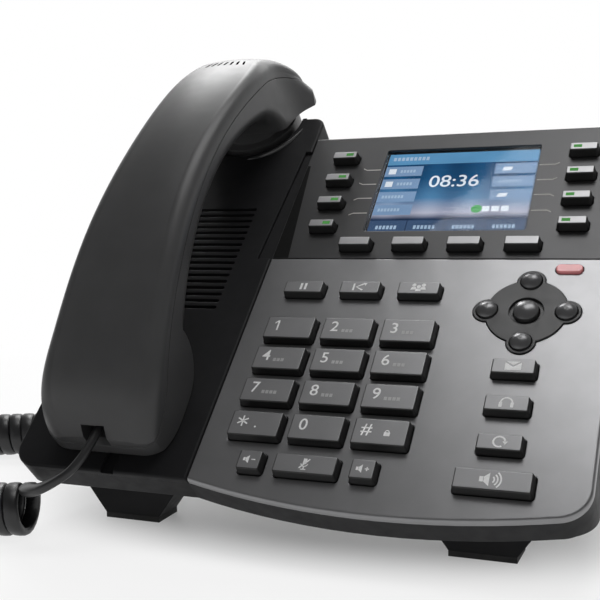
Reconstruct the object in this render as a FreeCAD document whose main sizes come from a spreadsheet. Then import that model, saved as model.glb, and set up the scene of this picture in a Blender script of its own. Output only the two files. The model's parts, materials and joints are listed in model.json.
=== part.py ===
"""Desk telephone: a sloping base with keypad, display and cradle, and a corded handset.

Everything on the base and the handset is drawn in the face frame: X to the right, Y up the
sloping face and Z square to it, with Z = 0 on the face. One placement then leans that frame
back by the tilt and lifts it on to its feet, so that the finished part stands on Z = 0.
"""

import FreeCAD, Part
import math
import os
import re
import Sketcher

V = FreeCAD.Vector

# Millimetres and degrees; a size that follows from others is written as the sheet's formula
SIZES = {
    # the lean of the face, and where the front pads touch the table
    "tilt": 42.0,
    "pad_y": 16.7,
    "pad_z": -36.4,
    "depth_centre": 84.74,
    # the base
    "base_width": 200.0,
    "cradle_width": 71.0,
    "seam_gap": 0.5,
    "cradle_front_y": 12.3,
    "front_y": 5.5,
    "front_side_y": 11.0,
    "face_top_y": 180.0,
    "column_top_y": 194.0,
    "front_bow": 300.0,
    "corner": 8.5,
    "front_corner": 10.5,
    "front_corner_rise": 10.3,
    "top_corner": 5.0,
    "panel": 2.4,
    "panel_edge": 1.0,
    "front_wall": 11.5,
    "body_depth": 28.0,
    "slope_end_y": 38.0,
    "wall": 2.5,
    "fit": 0.3,
    "over": 1.0,
    # the keys
    "key_clear": 0.35,
    "flange_gap": 0.3,
    "flange": 1.0,
    "flange_lip": 0.9,
    "key_corner": 1.0,
    "key_edge": 0.45,
    "key_draft": 0.45,
    "cap_foot": 0.4,
    "key_stand": 3.2,
    "line_stand": 3.6,
    "press": 1.6,
    "dial_x": 11.85,
    "dial_pitch_x": 21.75,
    "dial_y": 33.9,
    "dial_pitch_y": 13.73,
    "dial_wide": 18.0,
    "dial_deep": 9.5,
    "function_y": 94.3,
    "function_wide": 14.7,
    "function_deep": 5.4,
    "audio_y": 20.0,
    "volume_pitch": 19.3,
    "volume_wide": 7.8,
    "mute_wide": 20.9,
    "audio_deep": 6.8,
    "side_x": 71.4,
    "side_y": 33.3,
    "side_pitch": 14.35,
    "side_wide": 13.7,
    "side_deep": 5.6,
    "speaker_wide": 23.3,
    "speaker_deep": 7.0,
    # navigation keys
    "nav_x": 71.6,
    "nav_y": 87.1,
    "nav_disc": 13.5,
    "nav_ring": 13.2,
    "nav_lobe": 4.7,
    "nav_dome": 3.5,
    "nav_ok_dome": 4.2,
    "nav_rise": 2.6,
    "nav_crown": 1.4,
    "nav_plate_rise": 0.5,
    "nav_sink": 1.6,
    # the display
    "bezel_y": 111.0,
    "screen_x": 35.2,
    "screen_y": 148.0,
    "screen_wide": 61.0,
    "screen_tall": 45.0,
    "lens": 1.6,
    "lens_sunk": 0.3,
    "lcd_depth": 3.0,
    "lcd_margin": 4.0,
    "line_left_x": -11.9,
    "line_right_x": 82.5,
    "line_y": 126.6,
    "line_pitch": 12.85,
    "line_wide": 9.9,
    "line_deep": 3.7,
    "soft_x": 4.0,
    "soft_pitch": 20.77,
    "soft_y": 117.0,
    "soft_wide": 12.0,
    "soft_deep": 4.0,
    "lamp_x": 83.6,
    "lamp_y": 106.1,
    "lamp_wide": 9.0,
    "lamp_deep": 3.8,
    "lamp_rise": 1.0,
    "lamp_corner": 1.7,
    # the cradle
    "band_wide": 5.8,
    "band_end_y": 172.0,
    "well_floor": 8.4,
    "well_wall": 2.4,
    "grille_slots": 17.0,
    "grille_pitch": 3.25,
    "grille_y": 86.0,
    "grille_slot": 1.5,
    "grille_end": 0.73,
    "grille_long": 38.0,
    "cord_slot": 5.0,
    "cord_slot_aside": 3.0,
    "cord_slot_end_y": 36.0,
    # the handset
    "handset_inset": 37.0,
    "handset_x": "=handset_inset - base_width / 2",
    "cord_slot_x": "=handset_x + cord_slot_aside",
    "mouth_y": 19.5,
    "mouth_half": 25.6,
    "mouth_corner": 11.0,
    "ear_half": 26.0,
    "ear_rim": 2.9,
    "ear_end_y": "=column_top_y + ear_cup + ear_rim",
    "ear_side_y": "=ear_end_y - ear_corner - ear_turn",
    "ear_turn": 2.4,
    "ear_corner": 11.0,
    "ear_round": 14.5,
    "grip_start_y": 56.0,
    "grip_step": 42.0,
    "waist_y": 115.0,
    "waist_half": 21.5,
    "waist_bow": 1400.0,
    "top_waist_y": 160.0,
    "top_half": 18.6,
    "top_bow": 3000.0,
    "back_y": 119.0,
    "back_z": 44.9,
    "back_bow": 328.0,
    "ear_bow": 450.0,
    "shoulder": 5.5,
    "ear_root_y": "=ear_end_y - 19.4",
    "ear_root_half": 33.0,
    "ear_root_top": 18.1,
    "ear_root_z": 30.3,
    "ear_root_shoulder": 7.0,
    "ear_crown_y": "=ear_end_y - 9.4",
    "ear_crown_half": 55.0,
    "ear_crown_top": 20.7,
    "ear_crown_z": 20.2,
    "ear_crown_shoulder": 8.0,
    "ear_brow_y": "=ear_end_y - 2.9",
    "ear_brow_half": 68.0,
    "ear_brow_top": 18.9,
    "ear_brow_z": 12.5,
    "ear_brow_shoulder": 9.0,
    "ear_tip_y": "=ear_end_y + 1.1",
    "ear_tip_half": 58.0,
    "ear_tip_top": 12.0,
    "ear_tip_z": -8.0,
    "ear_tip_shoulder": 9.0,
    "grip_round": 6.0,
    "crown_radius": 70.0,
    "mouth_tip_y": 17.0,
    "mouth_tip_half": 22.0,
    "mouth_tip_top": 16.0,
    "mouth_tip_z": 1.0,
    "mouth_tip_shoulder": 8.0,
    "mouth_lip_y": 20.5,
    "mouth_lip_half": 24.0,
    "mouth_lip_top": 20.5,
    "mouth_lip_z": 10.5,
    "mouth_lip_shoulder": 8.0,
    "mouth_brow_y": 27.0,
    "mouth_brow_half": 25.4,
    "mouth_brow_top": 23.2,
    "mouth_brow_z": 18.6,
    "mouth_brow_shoulder": 7.0,
    "mouth_root_y": 38.0,
    "mouth_root_half": 25.2,
    "mouth_root_top": 23.6,
    "mouth_root_z": 25.6,
    "mouth_root_shoulder": 6.0,
    "waist_start_y": 45.0,
    "seam_mouth_z": 4.2,
    "seam_waist_z": 20.2,
    "seam_radius": 171.0,
    "seam_ear_y": 183.3,
    "seam_ear_z": 28.4,
    "seam_ear_radius": 75.0,
    "seam_tip_z": 4.6,
    "inner_mouth_y": 60.0,
    "inner_mouth_z": 13.0,
    "inner_grip_y": 168.0,
    "inner_grip_z": 20.0,
    "inner_radius": 113.0,
    "inner_ear_y": 178.0,
    "inner_ear_z": 6.0,
    "inner_round": 16.0,
    "shell_gap": 0.3,
    "ear_cup": 19.5,
    "well_clear": 3.0,
    "well_radius": "=ear_cup + well_clear",
    "well_edge": 1.2,
    "ear_face": 8.0,
    "receiver_radius": 13.0,
    "microphone_radius": 4.8,
    "capsule": 4.0,
    "cup_clear": 0.4,
    "cup_step": 4.0,
    "notch_wide": 9.2,
    "notch_deep": 17.0,
    "notch_top": 13.6,
    "plug_wide": 7.65,
    "plug_tall": 6.0,
    "plug_long": 11.0,
    "plug_z": 9.6,
    "plug_tail": 0.6,
    "hook_radius": 2.6,
    "hook_long": 12.0,
    "hook_y": 186.0,
    "hook_travel": 4.0,
    # inside the base
    "board": 1.6,
    "membrane": 1.0,
    "driver_radius": 23.0,
    "driver_deep": 14.0,
    "basket_radius": 14.3,
    "basket_deep": 8.4,
    "magnet_radius": 11.5,
    "cone_radius": 6.0,
    "cone_deep": 6.3,
    "driver_y": 112.0,
    # sockets
    "jack_wide": 15.8,
    "jack_long": 13.4,
    "jack_hole_wide": 11.8,
    "jack_hole_tall": 7.2,
    "jack_hole_deep": 12.5,
    "jack_y": 140.0,
    "jack_x": 20.0,
    "jack_pitch": 21.0,
    "hand_jack_x": -80.0,
    "hand_jack_y": 70.0,
    "hand_jack_wide": 12.0,
    "jack_sunk": 0.5,
    # stand and feet
    "leg_top": 37.0,
    "leg_foot": 22.0,
    "leg_x": 64.0,
    "leg_long": 13.0,
    "leg_flare": 12.0,
    "leg_tall": 21.0,
    "rubber": 2.0,
    "stand_wide": 140.0,
    "stand_plate": 3.5,
    "stand_start_y": 78.0,
    "stand_top_y": 146.0,
    "stand_foot": 118.0,
    "stand_foot_long": 16.0,
    "stand_leg": 24.0,
    "stand_window_y": 124.0,
    "stand_window": 20.0,
    # the cord
    "cord": 4.4,
    "curl": 18.5,
    "lead_run": 17.0,
    "tail_run": 12.5,
}

doc = FreeCAD.newDocument("desk_phone")
sheet = doc.addObject("Spreadsheet::Sheet", "Sizes")
for row, (name, number) in enumerate(SIZES.items(), start=1):
    sheet.set(f"A{row}", name)
    sheet.set(f"B{row}", str(number))
    sheet.setAlias(f"B{row}", name)
doc.recompute()


def bound(text):
    """The expression with each size's name pointed at its cell."""
    return re.sub(r"[a-z][a-z_0-9]*", lambda m: f"Sizes.{m[0]}" if m[0] in SIZES else m[0], text)


def size(text):
    """The number that an expression of sizes has now."""
    return float(sheet.evalExpression(bound(str(text))))


# Sketches and features

def new_body(label):
    body = doc.addObject("PartDesign::Body", label)
    body.Label = label
    return body


def sketch_on(body, role, offset="0", rise="0", turn="0"):
    """A sketch on one of the body's own planes: offset along its normal, moved by rise up the
    plane and turned about its own X axis."""
    plane = next(f for f in body.Origin.OriginFeatures if f.Role == role)
    sketch = body.newObject("Sketcher::SketchObject", f"{body.Name}_sketch")
    sketch.AttachmentSupport = [(plane, "")]
    sketch.MapMode = "FlatFace"
    sketch.AttachmentOffset = FreeCAD.Placement(
        V(0, size(rise), size(offset)), FreeCAD.Rotation(V(1, 0, 0), size(turn))
    )
    sketch.setExpression("AttachmentOffset.Base.y", bound(rise))
    sketch.setExpression("AttachmentOffset.Base.z", bound(offset))
    return sketch


def hold(sketch, joins, held):
    """Add the joins, and hold each measure at its expression of sizes, in one step."""
    first = sketch.ConstraintCount + len(joins)
    measures = [Sketcher.Constraint(*what, abs(size(text)) if what[0] == "Radius" else size(text))
                for what, text in held]
    sketch.addConstraint(joins + measures)
    for index, (_, text) in enumerate(held, start=first):
        sketch.setExpression(f"Constraints[{index}]", bound(text))


def at_point(geometry, spot, x, y):
    """The two measures that hold one point of a sketch from its origin."""
    return [(("DistanceX", -1, 1, geometry, spot), str(x)), (("DistanceY", -1, 1, geometry, spot), str(y))]


def draw(sketch, corners, arcs=None):
    """A closed outline through corners, given as pairs of expressions.

    arcs maps the number of a side to a radius; a negative one curves to the other hand.
    """
    arcs = arcs or {}
    points = [V(size(x), size(y), 0) for x, y in corners]
    first = sketch.GeometryCount
    ends = []
    for i, start in enumerate(points):
        stop = points[(i + 1) % len(points)]
        if i not in arcs:
            sketch.addGeometry(Part.LineSegment(start, stop), False)
            ends.append((1, 2))
            continue
        radius = size(arcs[i])
        if radius < 0:
            start, stop = stop, start
        half = (stop - start) / 2
        rise = math.sqrt(radius * radius - half.Length ** 2)
        centre = start + half + V(-half.y, half.x, 0).normalize() * rise
        circle = Part.Circle(centre, V(0, 0, 1), abs(radius))
        angles = [math.atan2(p.y - centre.y, p.x - centre.x) for p in (start, stop)]
        sketch.addGeometry(Part.ArcOfCircle(circle, *angles), False)
        ends.append((1, 2) if radius > 0 else (2, 1))
    joins, held = [], []
    for i, (x, y) in enumerate(corners):
        here, before = first + i, first + (i - 1) % len(points)
        joins.append(Sketcher.Constraint("Coincident", before, ends[i - 1][1], here, ends[i][0]))
        held += at_point(here, ends[i][0], x, y)
    held += [(("Radius", first + i), f"abs({radius})") for i, radius in arcs.items()]
    hold(sketch, joins, held)


def draw_box(sketch, x, y, wide, deep, corner=None):
    """A rectangle about a centre, with rounded corners if a radius is given."""
    west, east = f"({x}) - ({wide}) / 2", f"({x}) + ({wide}) / 2"
    south, north = f"({y}) - ({deep}) / 2", f"({y}) + ({deep}) / 2"
    if corner is None:
        draw(sketch, [(west, south), (east, south), (east, north), (west, north)])
        return
    r = f"({corner})"
    draw(
        sketch,
        [
            (f"{west} + {r}", south), (f"{east} - {r}", south),
            (east, f"{south} + {r}"), (east, f"{north} - {r}"),
            (f"{east} - {r}", north), (f"{west} + {r}", north),
            (west, f"{north} - {r}"), (west, f"{south} + {r}"),
        ],
        {1: r, 3: r, 5: r, 7: r},
    )


def draw_circle(sketch, x, y, radius):
    centre = V(size(x), size(y), 0)
    index = sketch.addGeometry(Part.Circle(centre, V(0, 0, 1), size(radius)), False)
    hold(sketch, [], at_point(index, 3, x, y) + [(("Radius", index), str(radius))])


def pad(body, sketch, length, middle=False, down=False, taper=None):
    feature = body.newObject("PartDesign::Pad", f"{body.Name}_pad")
    feature.Profile = sketch
    feature.setExpression("Length", bound(length))
    feature.Midplane = middle
    feature.Reversed = down
    if taper is not None:
        feature.setExpression("TaperAngle", bound(taper))
    doc.recompute([sketch, feature, body])
    return feature


def pocket(body, sketch, length, middle=False, up=False):
    """Cut a sketch into the body, downwards unless told otherwise; an empty cut is an error."""
    before = body.Shape.Volume
    feature = body.newObject("PartDesign::Pocket", f"{body.Name}_pocket")
    feature.Profile = sketch
    feature.setExpression("Length", bound(length))
    feature.Midplane = middle
    feature.Reversed = up
    doc.recompute([sketch, feature, body])
    if body.Shape.Volume > before - 1e-3:
        raise RuntimeError(f"{body.Label}: a pocket cuts nothing")
    return feature


def round_edges(body, wanted, radius):
    """Round the edges of the body's last feature that a test picks."""
    base = body.Tip
    names = [f"Edge{i}" for i, e in enumerate(base.Shape.Edges, start=1) if wanted(e)]
    feature = body.newObject("PartDesign::Fillet", f"{body.Name}_fillet")
    feature.Base = (base, names)
    feature.setExpression("Radius", bound(radius))
    doc.recompute()
    return feature


def at_height(z):
    """Picks edges that lie at one height."""
    return lambda e: abs(e.BoundBox.ZMin - z) < 1e-4 and abs(e.BoundBox.ZMax - z) < 1e-4


def outer_edges(seam_x, seam_y=None):
    """Picks the edges of a panel's face that lie on the outside of the base, not along a seam."""
    def wanted(edge):
        box = edge.BoundBox
        on_seam = box.XMax - box.XMin < 1e-4 and abs(box.XMin - seam_x) < 1e-4
        if seam_y is not None:
            on_seam = on_seam or (box.YMax - box.YMin < 1e-4 and abs(box.YMin - seam_y) < 1e-4)
        return at_height(0)(edge) and not on_seam
    return wanted


def well_rim(edge):
    """Picks the curved rim of the ear well."""
    round_rim = hasattr(edge.Curve, "Radius") and abs(edge.Curve.Radius - size("well_radius")) < 1e-4
    return at_height(0)(edge) and round_rim


def grip_edges(edge):
    """Picks the long lower edges of the handset's grip, one on each side."""
    ends = sorted(vertex.Point.y for vertex in edge.Vertexes)
    start, end = size("inner_mouth_y"), size("inner_grip_y")
    return abs(ends[0] - start) < 1e-3 and abs(ends[-1] - end) < 1e-3


def revolve(body, sketch, axis="V_Axis"):
    feature = body.newObject("PartDesign::Revolution", f"{body.Name}_turned")
    feature.Profile = sketch
    feature.ReferenceAxis = (sketch, [axis])
    feature.Angle = 360
    doc.recompute()
    return feature


# The face frame in the finished part's frame

LEAN = FreeCAD.Rotation(V(1, 0, 0), size("tilt"))


def on_face(x=0.0, y=0.0, z=0.0):
    """The placement of a piece drawn about a point of the face frame."""
    pads = LEAN.multVec(V(0, size("pad_y"), size("pad_z")))
    origin = LEAN.multVec(V(x, y, z)) - V(0, size("depth_centre"), pads.z)
    return FreeCAD.Placement(origin, LEAN)


PIECES = []


def finish(piece, placement=None):
    """Place a finished sub-part and put it on the list that is written out."""
    piece.Placement = placement or on_face()
    PIECES.append(piece)


LEFT = "(-base_width / 2)"
RIGHT = "(base_width / 2)"
SEAM = "(cradle_width - base_width / 2)"
COLUMN = f"({SEAM} - seam_gap / 2)"


# Keys: label, outline, centre

DIAL = ["star", "0", "hash", "7", "8", "9", "4", "5", "6", "1", "2", "3"]
FUNCTION = ["hold", "transfer", "conference"]
SIDE = ["redial", "headset", "message"]

KEYS_IN_SKETCH = 3
KEY_SIZES = {
    "dial": ("dial_wide", "dial_deep", "key_stand"),
    "function": ("function_wide", "function_deep", "key_stand"),
    "volume": ("volume_wide", "audio_deep", "key_stand"),
    "mute": ("mute_wide", "audio_deep", "key_stand"),
    "side": ("side_wide", "side_deep", "key_stand"),
    "speaker": ("speaker_wide", "speaker_deep", "key_stand"),
    "line": ("line_wide", "line_deep", "line_stand"),
    "soft": ("soft_wide", "soft_deep", "line_stand"),
}

FACE_KEYS = [
    (f"key_{name}", "dial", f"dial_x + ({i % 3 - 1}) * dial_pitch_x", f"dial_y + {i // 3} * dial_pitch_y")
    for i, name in enumerate(DIAL)
]
FACE_KEYS += [
    (f"key_{name}", "function", f"dial_x + ({i - 1}) * dial_pitch_x", "function_y")
    for i, name in enumerate(FUNCTION)
]
FACE_KEYS += [
    ("key_volume_down", "volume", "dial_x - volume_pitch", "audio_y"),
    ("key_mute", "mute", "dial_x", "audio_y"),
    ("key_volume_up", "volume", "dial_x + volume_pitch", "audio_y"),
    ("key_speaker", "speaker", "side_x", "audio_y"),
]
FACE_KEYS += [
    (f"key_{name}", "side", "side_x", f"side_y + {i} * side_pitch") for i, name in enumerate(SIDE)
]

BEZEL_KEYS = [
    (f"line_key_{hand}_{i + 1}", "line", f"line_{hand}_x", f"line_y + {3 - i} * line_pitch")
    for hand in ("left", "right")
    for i in range(4)
]
BEZEL_KEYS += [
    (f"soft_key_{i + 1}", "soft", f"soft_x + {i} * soft_pitch", "soft_y") for i in range(4)
]


def key_apertures(panel, keys):
    """The holes in a panel that the keys' caps stand in, a few to a sketch."""
    grow = "2 * (key_draft + key_clear)"
    for start in range(0, len(keys), KEYS_IN_SKETCH):
        holes = sketch_on(panel, "XY_Plane")
        for _, kind, x, y in keys[start:start + KEYS_IN_SKETCH]:
            wide, deep, _ = KEY_SIZES[kind]
            draw_box(holes, x, y, f"{wide} + {grow}", f"{deep} + {grow}", "key_corner + key_clear")
        pocket(panel, holes, "2 * panel")


def make_key(label, kind, x, y):
    """A moulded cap with sloping sides, on a flange that holds it under the panel."""
    wide, deep, stand = KEY_SIZES[kind]
    body = new_body(label)
    flange_top = "panel + flange_gap"
    plate = sketch_on(body, "XY_Plane", f"-({flange_top} + flange)")
    lip = "2 * (key_draft + flange_lip)"
    draw_box(plate, "0", "0", f"{wide} + {lip}", f"{deep} + {lip}")
    pad(body, plate, "flange")
    stem = sketch_on(body, "XY_Plane", f"-({flange_top})")
    draw_box(stem, "0", "0", f"{wide} + 2 * key_draft", f"{deep} + 2 * key_draft", "key_corner")
    pad(body, stem, f"{flange_top} + cap_foot")
    cap = sketch_on(body, "XY_Plane", "cap_foot")
    draw_box(cap, "0", "0", f"{wide} + 2 * key_draft", f"{deep} + 2 * key_draft", "key_corner")
    rise = f"({stand} - cap_foot)"
    pad(body, cap, rise, taper=f"-atan(key_draft / {rise})")
    round_edges(body, at_height(size(stand)), "key_edge")
    finish(body, on_face(size(x), size(y)))


def make_dome(label, radius, x, y, z="0"):
    """A round domed key, turned about its own axis, on a round flange."""
    body = new_body(label)
    profile = sketch_on(body, "XZ_Plane")
    top, low = "-(panel + flange_gap)", "-(panel + flange_gap + flange)"
    wide = f"{radius} + flange_lip"
    corners = [
        ("0", low), (wide, low), (wide, top), (radius, top),
        (radius, "nav_rise - nav_crown"), ("0", "nav_rise"),
    ]
    # the crown is an arc that reaches the axis square to it
    crown = f"({radius} * {radius} + nav_crown * nav_crown) / (2 * nav_crown)"
    draw(profile, corners, {4: crown})
    revolve(body, profile)
    finish(body, on_face(size(x), size(y), size(z)))


# Base housings and panels

def housing_outline(sketch, inset="0"):
    """The base seen square to its face: bowed front, straight sides, taller cradle column."""
    i = f"({inset})"
    west, east = f"{LEFT} + {i}", f"{RIGHT} - {i}"
    front, top = f"cradle_front_y + {i}", f"face_top_y - {i}"
    column, step = f"column_top_y - {i}", f"{COLUMN} - {i}"
    draw(
        sketch,
        [
            (f"{west} + corner", front), (SEAM, front),
            (f"{east} - corner", f"front_side_y + {i}"), (east, f"front_side_y + front_corner_rise + {i}"),
            (east, f"{top} - top_corner"), (f"{east} - top_corner", top), (step, top),
            (step, f"{column} - top_corner"), (f"{step} - top_corner", column),
            (f"{west} + top_corner", column), (west, f"{column} - top_corner"),
            (west, f"{front} + corner"),
        ],
        {
            1: "front_bow", 2: "front_corner", 4: "top_corner", 7: "top_corner", 9: "top_corner",
            11: "corner",
        },
    )


def draw_well(sketch, radius):
    """Half a disc about the ear end of the cradle, flat along the top of the column."""
    x, y = "handset_x", "column_top_y"
    corners = [(f"{x} + {radius}", y), (f"{x} - {radius}", y), (x, f"{y} - {radius}")]
    draw(sketch, corners, {1: radius, 2: radius})


def make_rear_housing():
    """The tray under the panels: a sloping underside, front legs and socket openings."""
    body = new_body("rear_housing")
    tray = sketch_on(body, "XY_Plane", "-body_depth")
    housing_outline(tray)
    pad(body, tray, "body_depth - panel")
    slope = sketch_on(body, "YZ_Plane")
    below, ahead = "-2 * body_depth", "front_y - body_depth"
    draw(
        slope,
        [
            (ahead, "-front_wall"), ("cradle_front_y", "-front_wall"),
            ("slope_end_y", "-body_depth"), ("slope_end_y", below), (ahead, below),
        ],
    )
    pocket(body, slope, "2 * base_width", middle=True)
    rim = sketch_on(body, "XY_Plane", "-panel")
    housing_outline(rim, "wall")
    pocket(body, rim, "front_wall - panel - wall")
    cavity = sketch_on(body, "XY_Plane", "-front_wall + wall")
    west, east = f"{LEFT} + wall", f"{RIGHT} - wall"
    front, top, step = "slope_end_y + wall", "face_top_y - wall", f"{COLUMN} - wall"
    draw(
        cavity,
        [
            (west, front), (east, front), (east, f"{top} - top_corner"), (f"{east} - top_corner", top),
            (step, top), (step, "column_top_y - wall"), (west, "column_top_y - wall"),
        ],
        {2: "top_corner"},
    )
    pocket(body, cavity, "body_depth - front_wall")
    scoop = sketch_on(body, "XY_Plane")
    draw_well(scoop, "(well_radius + well_wall + fit)")
    pocket(body, scoop, "well_floor + well_wall + fit")
    for side in (-1, 1):
        leg = sketch_on(body, "XZ_Plane", "-pad_y", "pad_z", "-tilt")
        x = f"({side}) * leg_x"
        draw(
            leg,
            [
                (f"{x} - leg_foot / 2", "rubber"), (f"{x} + leg_foot / 2", "rubber"),
                (f"{x} + leg_top / 2", "leg_flare"), (f"{x} + leg_top / 2", "leg_tall"),
                (f"{x} - leg_top / 2", "leg_tall"), (f"{x} - leg_top / 2", "leg_flare"),
            ],
        )
        pad(body, leg, "leg_long", middle=True)
    for x in NETWORK_JACKS:
        hole = sketch_on(body, "XY_Plane", "-body_depth")
        draw_box(hole, x, "jack_y", "jack_wide + 2 * fit", "jack_long + 2 * fit")
        pocket(body, hole, "2 * wall", up=True)
    hole = sketch_on(body, "XY_Plane", "-body_depth")
    draw_box(hole, "hand_jack_x", "hand_jack_y", "hand_jack_wide + 2 * fit", "hand_jack_wide + 2 * fit")
    pocket(body, hole, "2 * wall", up=True)
    finish(body)


def make_cradle_cover():
    """The left cover: handset rest with a scooped ear well, a grille, a cord slot and a dark band."""
    body = new_body("cradle_cover")
    plate = sketch_on(body, "XY_Plane", "-panel")
    draw(
        plate,
        [
            (f"{LEFT} + corner", "cradle_front_y"), (COLUMN, "cradle_front_y"),
            (COLUMN, "column_top_y - top_corner"), (f"{COLUMN} - top_corner", "column_top_y"),
            (f"{LEFT} + top_corner", "column_top_y"),
            (LEFT, "column_top_y - top_corner"), (LEFT, "cradle_front_y + corner"),
        ],
        {2: "top_corner", 4: "top_corner", 6: "corner"},
    )
    pad(body, plate, "panel")
    round_edges(body, outer_edges(seam_x=size(COLUMN)), "panel_edge")
    bowl = sketch_on(body, "XY_Plane")
    draw_well(bowl, "(well_radius + well_wall)")
    pad(body, bowl, "well_floor + well_wall", down=True)
    well = sketch_on(body, "XY_Plane")
    draw_circle(well, "handset_x", "column_top_y", "well_radius")
    pocket(body, well, "well_floor")
    round_edges(body, well_rim, "well_edge")
    hook = sketch_on(body, "XY_Plane")
    draw_circle(hook, "handset_x", "hook_y", "hook_radius + fit")
    pocket(body, hook, "2 * (well_floor + well_wall)")
    groove = sketch_on(body, "XY_Plane")
    draw(
        groove,
        [
            (f"{COLUMN} - band_wide", "bezel_y"), (COLUMN, "bezel_y"), (COLUMN, "band_end_y"),
            (f"{COLUMN} - band_wide / 2", "band_end_y"),
        ],
    )
    pocket(body, groove, "panel / 2")
    channel = sketch_on(body, "XY_Plane")
    reach = "cord_slot_end_y - cradle_front_y"
    draw_box(channel, "cord_slot_x", f"cradle_front_y + ({reach}) / 2", "cord_slot", reach)
    pocket(body, channel, "panel / 2")
    slot = sketch_on(body, "XY_Plane")
    draw_box(slot, "handset_x", "grille_y", "grille_long", "grille_slot", "grille_end")
    first = pocket(body, slot, "2 * panel")
    rows = body.newObject("PartDesign::LinearPattern", "grille_rows")
    rows.Originals = [first]
    rows.Direction = (slot, ["V_Axis"])
    rows.setExpression("Length", bound("(grille_slots - 1) * grille_pitch"))
    rows.setExpression("Occurrences", bound("grille_slots"))
    body.Tip = rows
    doc.recompute()
    finish(body)


def make_face_panel():
    """The keypad panel, with a hole for each key, the navigation plate and the lamp."""
    body = new_body("face_panel")
    plate = sketch_on(body, "XY_Plane", "-panel")
    edge, top = f"{SEAM} + seam_gap / 2", "bezel_y - seam_gap / 2"
    draw(
        plate,
        [
            (edge, "cradle_front_y"), (f"{RIGHT} - corner", "front_side_y"),
            (RIGHT, "front_side_y + front_corner_rise"), (RIGHT, top), (edge, top),
        ],
        {0: "front_bow", 1: "front_corner"},
    )
    pad(body, plate, "panel")
    round_edges(body, outer_edges(seam_x=size(edge), seam_y=size(top)), "panel_edge")
    key_apertures(body, FACE_KEYS)
    for discs in (NAV_PLATE[:1], NAV_PLATE[1:]):
        holes = sketch_on(body, "XY_Plane")
        for x, y, radius in discs:
            draw_circle(holes, x, y, f"{radius} + fit")
        pocket(body, holes, "2 * panel")
    hole = sketch_on(body, "XY_Plane")
    draw_box(hole, "lamp_x", "lamp_y", "lamp_wide + 2 * fit", "lamp_deep + 2 * fit", "lamp_corner + fit")
    pocket(body, hole, "2 * panel")
    finish(body)


def make_display_bezel():
    """The upper panel round the screen, with holes for the line keys and the soft keys."""
    body = new_body("display_bezel")
    plate = sketch_on(body, "XY_Plane", "-panel")
    edge, low = f"{SEAM} + seam_gap / 2", "bezel_y + seam_gap / 2"
    draw(
        plate,
        [
            (edge, low), (RIGHT, low), (RIGHT, "face_top_y - top_corner"),
            (f"{RIGHT} - top_corner", "face_top_y"), (edge, "face_top_y"),
        ],
        {2: "top_corner"},
    )
    pad(body, plate, "panel")
    round_edges(body, outer_edges(seam_x=size(edge), seam_y=size(low)), "panel_edge")
    window = sketch_on(body, "XY_Plane")
    draw_box(window, "screen_x", "screen_y", "screen_wide + 2 * fit", "screen_tall + 2 * fit", "key_corner")
    pocket(body, window, "2 * panel")
    key_apertures(body, BEZEL_KEYS)
    finish(body)


def make_nav_plate():
    """The round plate of the navigation keys: four lobes, five holes and a sunk centre."""
    body = new_body("nav_plate")
    for x, y, radius in NAV_PLATE:
        disc = sketch_on(body, "XY_Plane", "-panel")
        draw_circle(disc, x, y, radius)
        pad(body, disc, "panel + nav_plate_rise")
    sunk = sketch_on(body, "XY_Plane", "nav_plate_rise")
    draw_circle(sunk, "nav_x", "nav_y", "nav_ok_dome + nav_sink")
    pocket(body, sunk, "2 * nav_plate_rise")
    for _, radius, x, y in NAV_KEYS:
        hole = sketch_on(body, "XY_Plane", "nav_rise")
        draw_circle(hole, x, y, f"{radius} + key_clear")
        pocket(body, hole, "3 * panel")
    finish(body)


def make_plate(label, x, y, wide, deep, low, high, corner=None):
    """A flat piece of the face frame between two heights."""
    body = new_body(label)
    outline = sketch_on(body, "XY_Plane", low)
    draw_box(outline, x, y, wide, deep, corner)
    pad(body, outline, f"({high}) - ({low})")
    return body


def make_display():
    top = "-lens_sunk"
    low = f"{top} - lens"
    glass = ("screen_x", "screen_y", "screen_wide", "screen_tall")
    lens = make_plate("display_lens", *glass, low, top, "key_corner")
    finish(lens)
    edge = "2 * lcd_margin"
    lcd = make_plate(
        "lcd_module", "screen_x", "screen_y", f"screen_wide + {edge}", f"screen_tall + {edge}",
        "-panel - lcd_depth", "-panel",
    )
    raised = sketch_on(lcd, "XY_Plane", "-panel")
    draw_box(raised, *glass, "key_corner")
    pad(lcd, raised, f"panel + {low}")
    finish(lcd)
    lamp = make_plate(
        "message_lamp", "lamp_x", "lamp_y", "lamp_wide", "lamp_deep", "-panel", "lamp_rise", "lamp_corner"
    )
    round_edges(lamp, at_height(size("lamp_rise")), "lamp_rise / 2")
    finish(lamp)


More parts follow.
